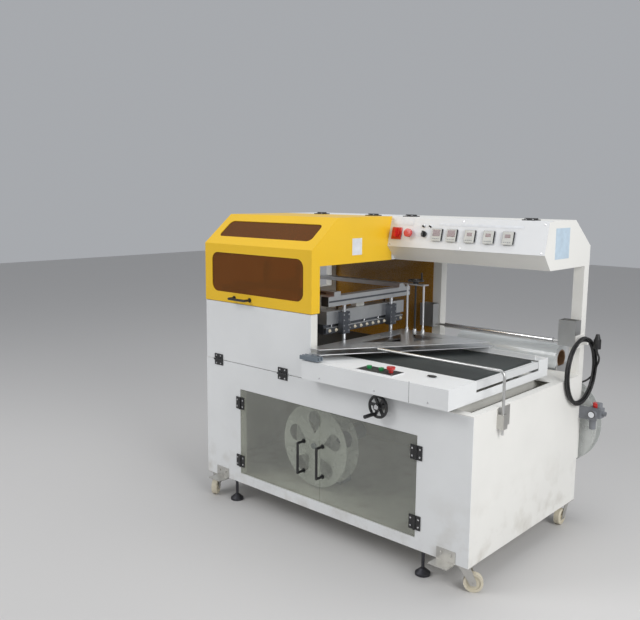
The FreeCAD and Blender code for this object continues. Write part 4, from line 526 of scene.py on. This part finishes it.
def table_details():
    """Skirt seam, oval grommet, the button plate's dark face and the film-edge sensor's rail."""
    seam = bmesh.new()
    add_box(seam, (0.5292, -0.5453, 0.742), (0.5304, -0.5440, 0.8262))
    piece("skirt_seam", seam, "lift_table", "instrument", smooth=False)
    grommet = bmesh.new()
    add_lathe(grommet, [(0.016, -0.0002), (0.016, 0.0012), (0.0135, 0.0018), (0.0125, 0.0006)],
              Vector((0, 0, 0)), UP, 40)
    bmesh.ops.transform(grommet, matrix=Matrix.Translation((0.545, -0.410, 0.8270)) @ Matrix.Diagonal((1.35,
                                                                                                       0.8,
                                                                                                       1, 1)),
                        verts=grommet.verts)
    piece("grommet", grommet, "lift_table", "switch_black")
    face = bmesh.new()
    add_box(face, (0.242, -0.519, 0.8268), (0.428, -0.438, 0.8278))
    piece("button_face", face, "lift_table", "instrument", bevel=0.0004)
    screws = bmesh.new()
    for x in (0.249, 0.421):
        for y in (-0.512, -0.445):
            add_screw(screws, (x, y, 0.8276), UP, 0.003)
    piece("button_face_screws", screws, "lift_table", "roller_steel", smooth=False)
    rail = bmesh.new()
    outline = [(-0.552, 0.828), (-0.512, 0.828), (-0.512, 0.846), (-0.518, 0.846), (-0.518, 0.833),
               (-0.527, 0.833), (-0.527, 0.846), (-0.537, 0.846), (-0.537, 0.833), (-0.546, 0.833),
               (-0.546, 0.846), (-0.552, 0.846)]
    ends = [[rail.verts.new((x, y, z)) for y, z in outline] for x in (-0.052, 0.050)]
    for index in range(len(outline)):
        after = (index + 1) % len(outline)
        rail.faces.new((ends[0][index], ends[0][after], ends[1][after], ends[1][index]))
    for end in ends:
        rail.faces.new(end)
    piece("sensor_rail", rail, "lift_table", "motor_grey", bevel=0.0006)
    skirt = bmesh.new()
    for x in (0.06, 0.36, 0.62):
        add_screw(skirt, (x, -0.545, 0.758), AHEAD, 0.0035)
    piece("skirt_screws", skirt, "lift_table", "roller_steel", smooth=False)


CLAMP_FRONT = -0.343
CLAMP_REAR = 0.244
CONE_COUNT = 13
CONE_START = -0.318
CONE_PITCH = 0.0455
SLIDE_Y = (-0.240, 0.120)
SLIDE_HALF = 0.028


def jaw_details():
    """Dark clamp bar with its cone screws, silver strip and posts along the knife, and fittings."""
    clamp, strip, cones, posts = bmesh.new(), bmesh.new(), bmesh.new(), bmesh.new()
    add_box(clamp, (-0.098, CLAMP_FRONT, 0.906), (-0.084, CLAMP_REAR, 0.930))
    add_box(strip, (-0.098, CLAMP_FRONT, 0.9302), (-0.082, CLAMP_REAR, 0.9345))
    for step in range(CONE_COUNT):
        y = CONE_START + CONE_PITCH * step
        if min(abs(y - slide) for slide in SLIDE_Y) > SLIDE_HALF:
            add_lathe(cones, [(0.0085, -0.0005), (0.0085, 0.0008), (0.0025, 0.0075), (0.0022, 0.009)],
                      (-0.084, y, 0.918), (1, 0, 0), 20)
    for y in (-0.300, -0.170, -0.060, 0.050, 0.190):
        add_lathe(posts, [(0.005, -0.0002), (0.005, 0.004), (0.0035, 0.0045), (0.0035, 0.0095), (0.005,
                                                                                                 0.010),
                          (0.005, 0.0137)], (-0.090, y, 0.9345), UP, 16)
    piece("knife_clamp", clamp, "jaw", "jaw_grey", bevel=0.001)
    piece("knife_strip", strip, "jaw", "plate_aluminium", bevel=0.0005)
    piece("knife_cones", cones, "jaw", "caster_nylon")
    piece("knife_posts", posts, "jaw", "roller_steel")
    body, ports = bmesh.new(), bmesh.new()
    add_box(body, (-0.128, -0.118, 1.0100), (-0.092, -0.058, 1.0400))
    for y in (-0.108, -0.088, -0.068):
        add_lathe(ports, [(0.0055, -0.0003), (0.0055, 0.006), (0.0075, 0.007), (0.0075, 0.013), (0.004,
                                                                                                 0.0145)],
                  (-0.110, y, 1.040), UP, 16)
    piece("jaw_valve", body, "jaw", "meter_case", bevel=0.002)
    piece("jaw_valve_ports", ports, "jaw", "roller_steel")
    knobs, bolts = bmesh.new(), bmesh.new()
    for y in SLIDE_Y:
        add_lathe(knobs, [(0.004, -0.0003), (0.004, 0.012), (0.010, 0.013), (0.0115, 0.018), (0.0115, 0.026),
                          (0.009, 0.030)], (-0.108, y, 1.0100), UP, 24)
        for z in (0.915, 0.940, 0.965, 0.990):
            for shift in (-0.017, 0.017):
                add_screw(bolts, (-0.049, y + shift, z), (1, 0, 0), 0.0035)
    piece("slide_knobs", knobs, "jaw", "switch_black")
    piece("slide_bolts", bolts, "jaw", "roller_steel", smooth=False)


def profile_slot_shade_and_caps():
    """Painted shade in the slots of the aluminium profiles, as thin dark strips on their inner and outer faces, and
    corner brackets.
    """
    slot_shade_strips = bmesh.new()
    # Thin dark strips of painted shade stand for the shadow inside the profile slots.
    for x in (-0.0418, -0.0862):
        add_box(slot_shade_strips, (x - 0.0004, -0.372, 1.057), (x + 0.0004, 0.244, 1.065))
    for y in (-0.338, -0.292):
        add_box(slot_shade_strips, (-0.730, y - 0.0004, 1.0905), (-0.090, y + 0.0004, 1.0975))
    piece("profile_slot_painted_shade", slot_shade_strips, "cabinet", "jaw_grey", smooth=False)
    caps = bmesh.new()
    for low in (-0.086, -0.777):
        add_box(caps, (low + 0.001, -0.3775, 1.040), (low + 0.043, -0.3748, 1.083))
    piece("profile_caps", caps, "cabinet", "switch_black", bevel=0.001)


def anchor_bolts():
    """Hexagon bolts in the anchor brackets."""
    bolts = bmesh.new()
    for low in (-0.705, 0.635):
        for x in (low + 0.022, low + 0.066):
            place = touch("steel_fittings", (x, -0.7, 0.142), (0, 1, 0))
            add_lathe(bolts, [(0.0065, -0.0003), (0.0065, 0.0045), (0.0055, 0.0055)], place, AHEAD, 6)
    piece("anchor_bolts", bolts, "cabinet", "zinc", smooth=False)


def regulator_details():
    """Red adjusting knob and gauge face on the air regulator, from its CAD surface."""
    knob, face, ring = bmesh.new(), bmesh.new(), bmesh.new()
    top = touch("air_regulator", (0.850, 0.503, 0.8), (0, 0, -1))
    add_lathe(knob, [(0.014, -0.0003), (0.017, 0.003), (0.017, 0.020), (0.0145, 0.0235)], top, UP, 28)
    piece("regulator_knob", knob, "cabinet", "stop_red")
    dial = touch("air_regulator", (0.850, 0.30, 0.547), (0, 1, 0))
    add_lathe(ring, [(0.0165, -0.001), (0.0165, 0.004), (0.0150, 0.0048)], dial, AHEAD, 36)
    add_lathe(face, [(0.0140, 0.0046), (0.0140, 0.0052)], dial, AHEAD, 36)
    piece("gauge_ring", ring, "cabinet", "switch_black")
    piece("gauge_face", face, "cabinet", "bare_plate")


def handwheel_details():
    """Silver hub rings on the black handwheels."""
    for name, body, place, axis, radius in (
            ("front_hub_ring", "front_handwheel_body", touch("front_handwheel", (0.350, -0.7, 0.682), (0, 1,
                                                                                                       0)),
                                                                                                       AHEAD, 0.011),
            ("film_hub_ring", "film_handwheel_body", touch("film_handwheel", (0.051, 0.165, 1.3), (0, 0,
                                                                                                   -1)), UP,
                                                                                                   0.008)):
        mesh = bmesh.new()
        add_lathe(mesh, [(radius, -0.0003), (radius, 0.002), (radius * 0.8, 0.003), (radius * 0.35, 0.003)],
                  place, axis, 28)
        piece(name, mesh, body, "roller_steel")


CORD_START = (0.740, 0.543, 0.660)
CORD_ROUTE = (CORD_START, (0.740, 0.578, 0.658), (0.757, 0.607, 0.668), (0.779, 0.611, 0.695),
              (0.795, 0.597, 0.722))
CORD_DIAMETER = 0.009
COIL_MIDDLE = (0.795, 0.440, 0.745)
COIL_RADIUS = 0.150
COIL_SPREAD = 0.0080
COIL_TURNS = 3.98
COIL_STEPS = 24
COIL_STRANDS = 5


def power_cord():
    """The mains cord: out of its gland, round its hook in turns that lie beside one another, up to its plug."""
    points = list(CORD_ROUTE)
    for step in range(1, round(COIL_TURNS * COIL_STEPS) + 1):
        turn = step / COIL_STEPS
        angle = 2 * math.pi * turn
        lie = 2 * math.pi * turn / COIL_STRANDS + math.pi
        radius = COIL_RADIUS + COIL_SPREAD * math.cos(lie)
        points.append((COIL_MIDDLE[0] + COIL_SPREAD * math.sin(lie),
                       COIL_MIDDLE[1] + radius * math.cos(angle),
                       COIL_MIDDLE[2] + radius * math.sin(angle)))
    points += [(0.812, 0.590, 0.765), (0.820, 0.574, 0.792), (0.8243, 0.545, 0.812), (0.8243, 0.530, 0.828),
               (0.8243, 0.530, 0.842)]
    data = bpy.data.curves.new("mains_cord", "CURVE")
    data.dimensions = "3D"
    data.bevel_depth = CORD_DIAMETER / 2
    data.bevel_resolution = 4
    data.resolution_u = 6
    data.use_fill_caps = True
    spline = data.splines.new("NURBS")
    spline.points.add(len(points) - 1)
    for point, place in zip(spline.points, points):
        point.co = (*place, 1.0)
    spline.order_u = 3
    spline.use_endpoint_u = True
    item = bpy.data.objects.new("mains_cord", data)
    bpy.context.collection.objects.link(item)
    data.materials.append(FINISHES["cord_black"])
    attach(item, "cabinet")
    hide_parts("power_cord", "cord_coil")


# ---------------------------------------------------------------- studio
def studio():
    world = bpy.data.worlds.new("Studio")
    bpy.context.scene.world = world
    world.use_nodes = True
    world.node_tree.nodes["Background"].inputs[0].default_value = (0.92, 0.95, 1.0, 1.0)
    world.node_tree.nodes["Background"].inputs[1].default_value = 0.42
    lights = (
        ("Key", (-2.6, -4.2, 4.2), (-0.2, 0, 0.7), 95, 2.4),
        ("Fill", (4.4, -1.2, 2.8), (0.2, 0, 0.8), 120, 2.6),
        ("Top", (0.4, 0.8, 4.6), (0, 0, 0.9), 55, 3.2),
    )
    for name, place, target, power, size in lights:
        data = bpy.data.lights.new(name, "AREA")
        data.energy = power
        data.size = size
        item = bpy.data.objects.new(name, data)
        item.location = place
        item.rotation_euler = (Vector(target) - Vector(place)).to_track_quat("-Z", "Y").to_euler()
        bpy.context.collection.objects.link(item)
    floor_mesh = bmesh.new()
    bmesh.ops.create_grid(floor_mesh, x_segments=1, y_segments=1, size=14.0)
    data = bpy.data.meshes.new("Floor")
    floor_mesh.to_mesh(data)
    floor_mesh.free()
    floor = bpy.data.objects.new("Floor", data)
    bpy.context.collection.objects.link(floor)
    ground = Finish("Floor")
    ground.set(Base_Color=(0.62, 0.61, 0.60), Roughness=0.7)
    data.materials.append(ground.material)


def camera():
    yaw, pitch, roll = (math.radians(angle) for angle in (42.25, -8.65, 0.46))
    data = bpy.data.cameras.new("Camera")
    data.lens = 42.97
    data.sensor_width = 36.0
    data.clip_end = 60.0
    item = bpy.data.objects.new("Camera", data)
    item.location = (2.2123, -2.9137, 1.5426)
    turn = Euler((math.pi / 2 + pitch, 0, yaw)).to_matrix() @ Matrix.Rotation(roll, 3, "Z")
    item.rotation_euler = turn.to_euler()
    bpy.context.collection.objects.link(item)
    bpy.context.scene.camera = item
    bpy.context.scene.view_settings.view_transform = "Standard"


dress_frame()
hinge_screws()
fascia_instruments()
plates()
table_details()
jaw_details()
profile_slot_shade_and_caps()
anchor_bolts()
regulator_details()
handwheel_details()
power_cord()
studio()
camera()
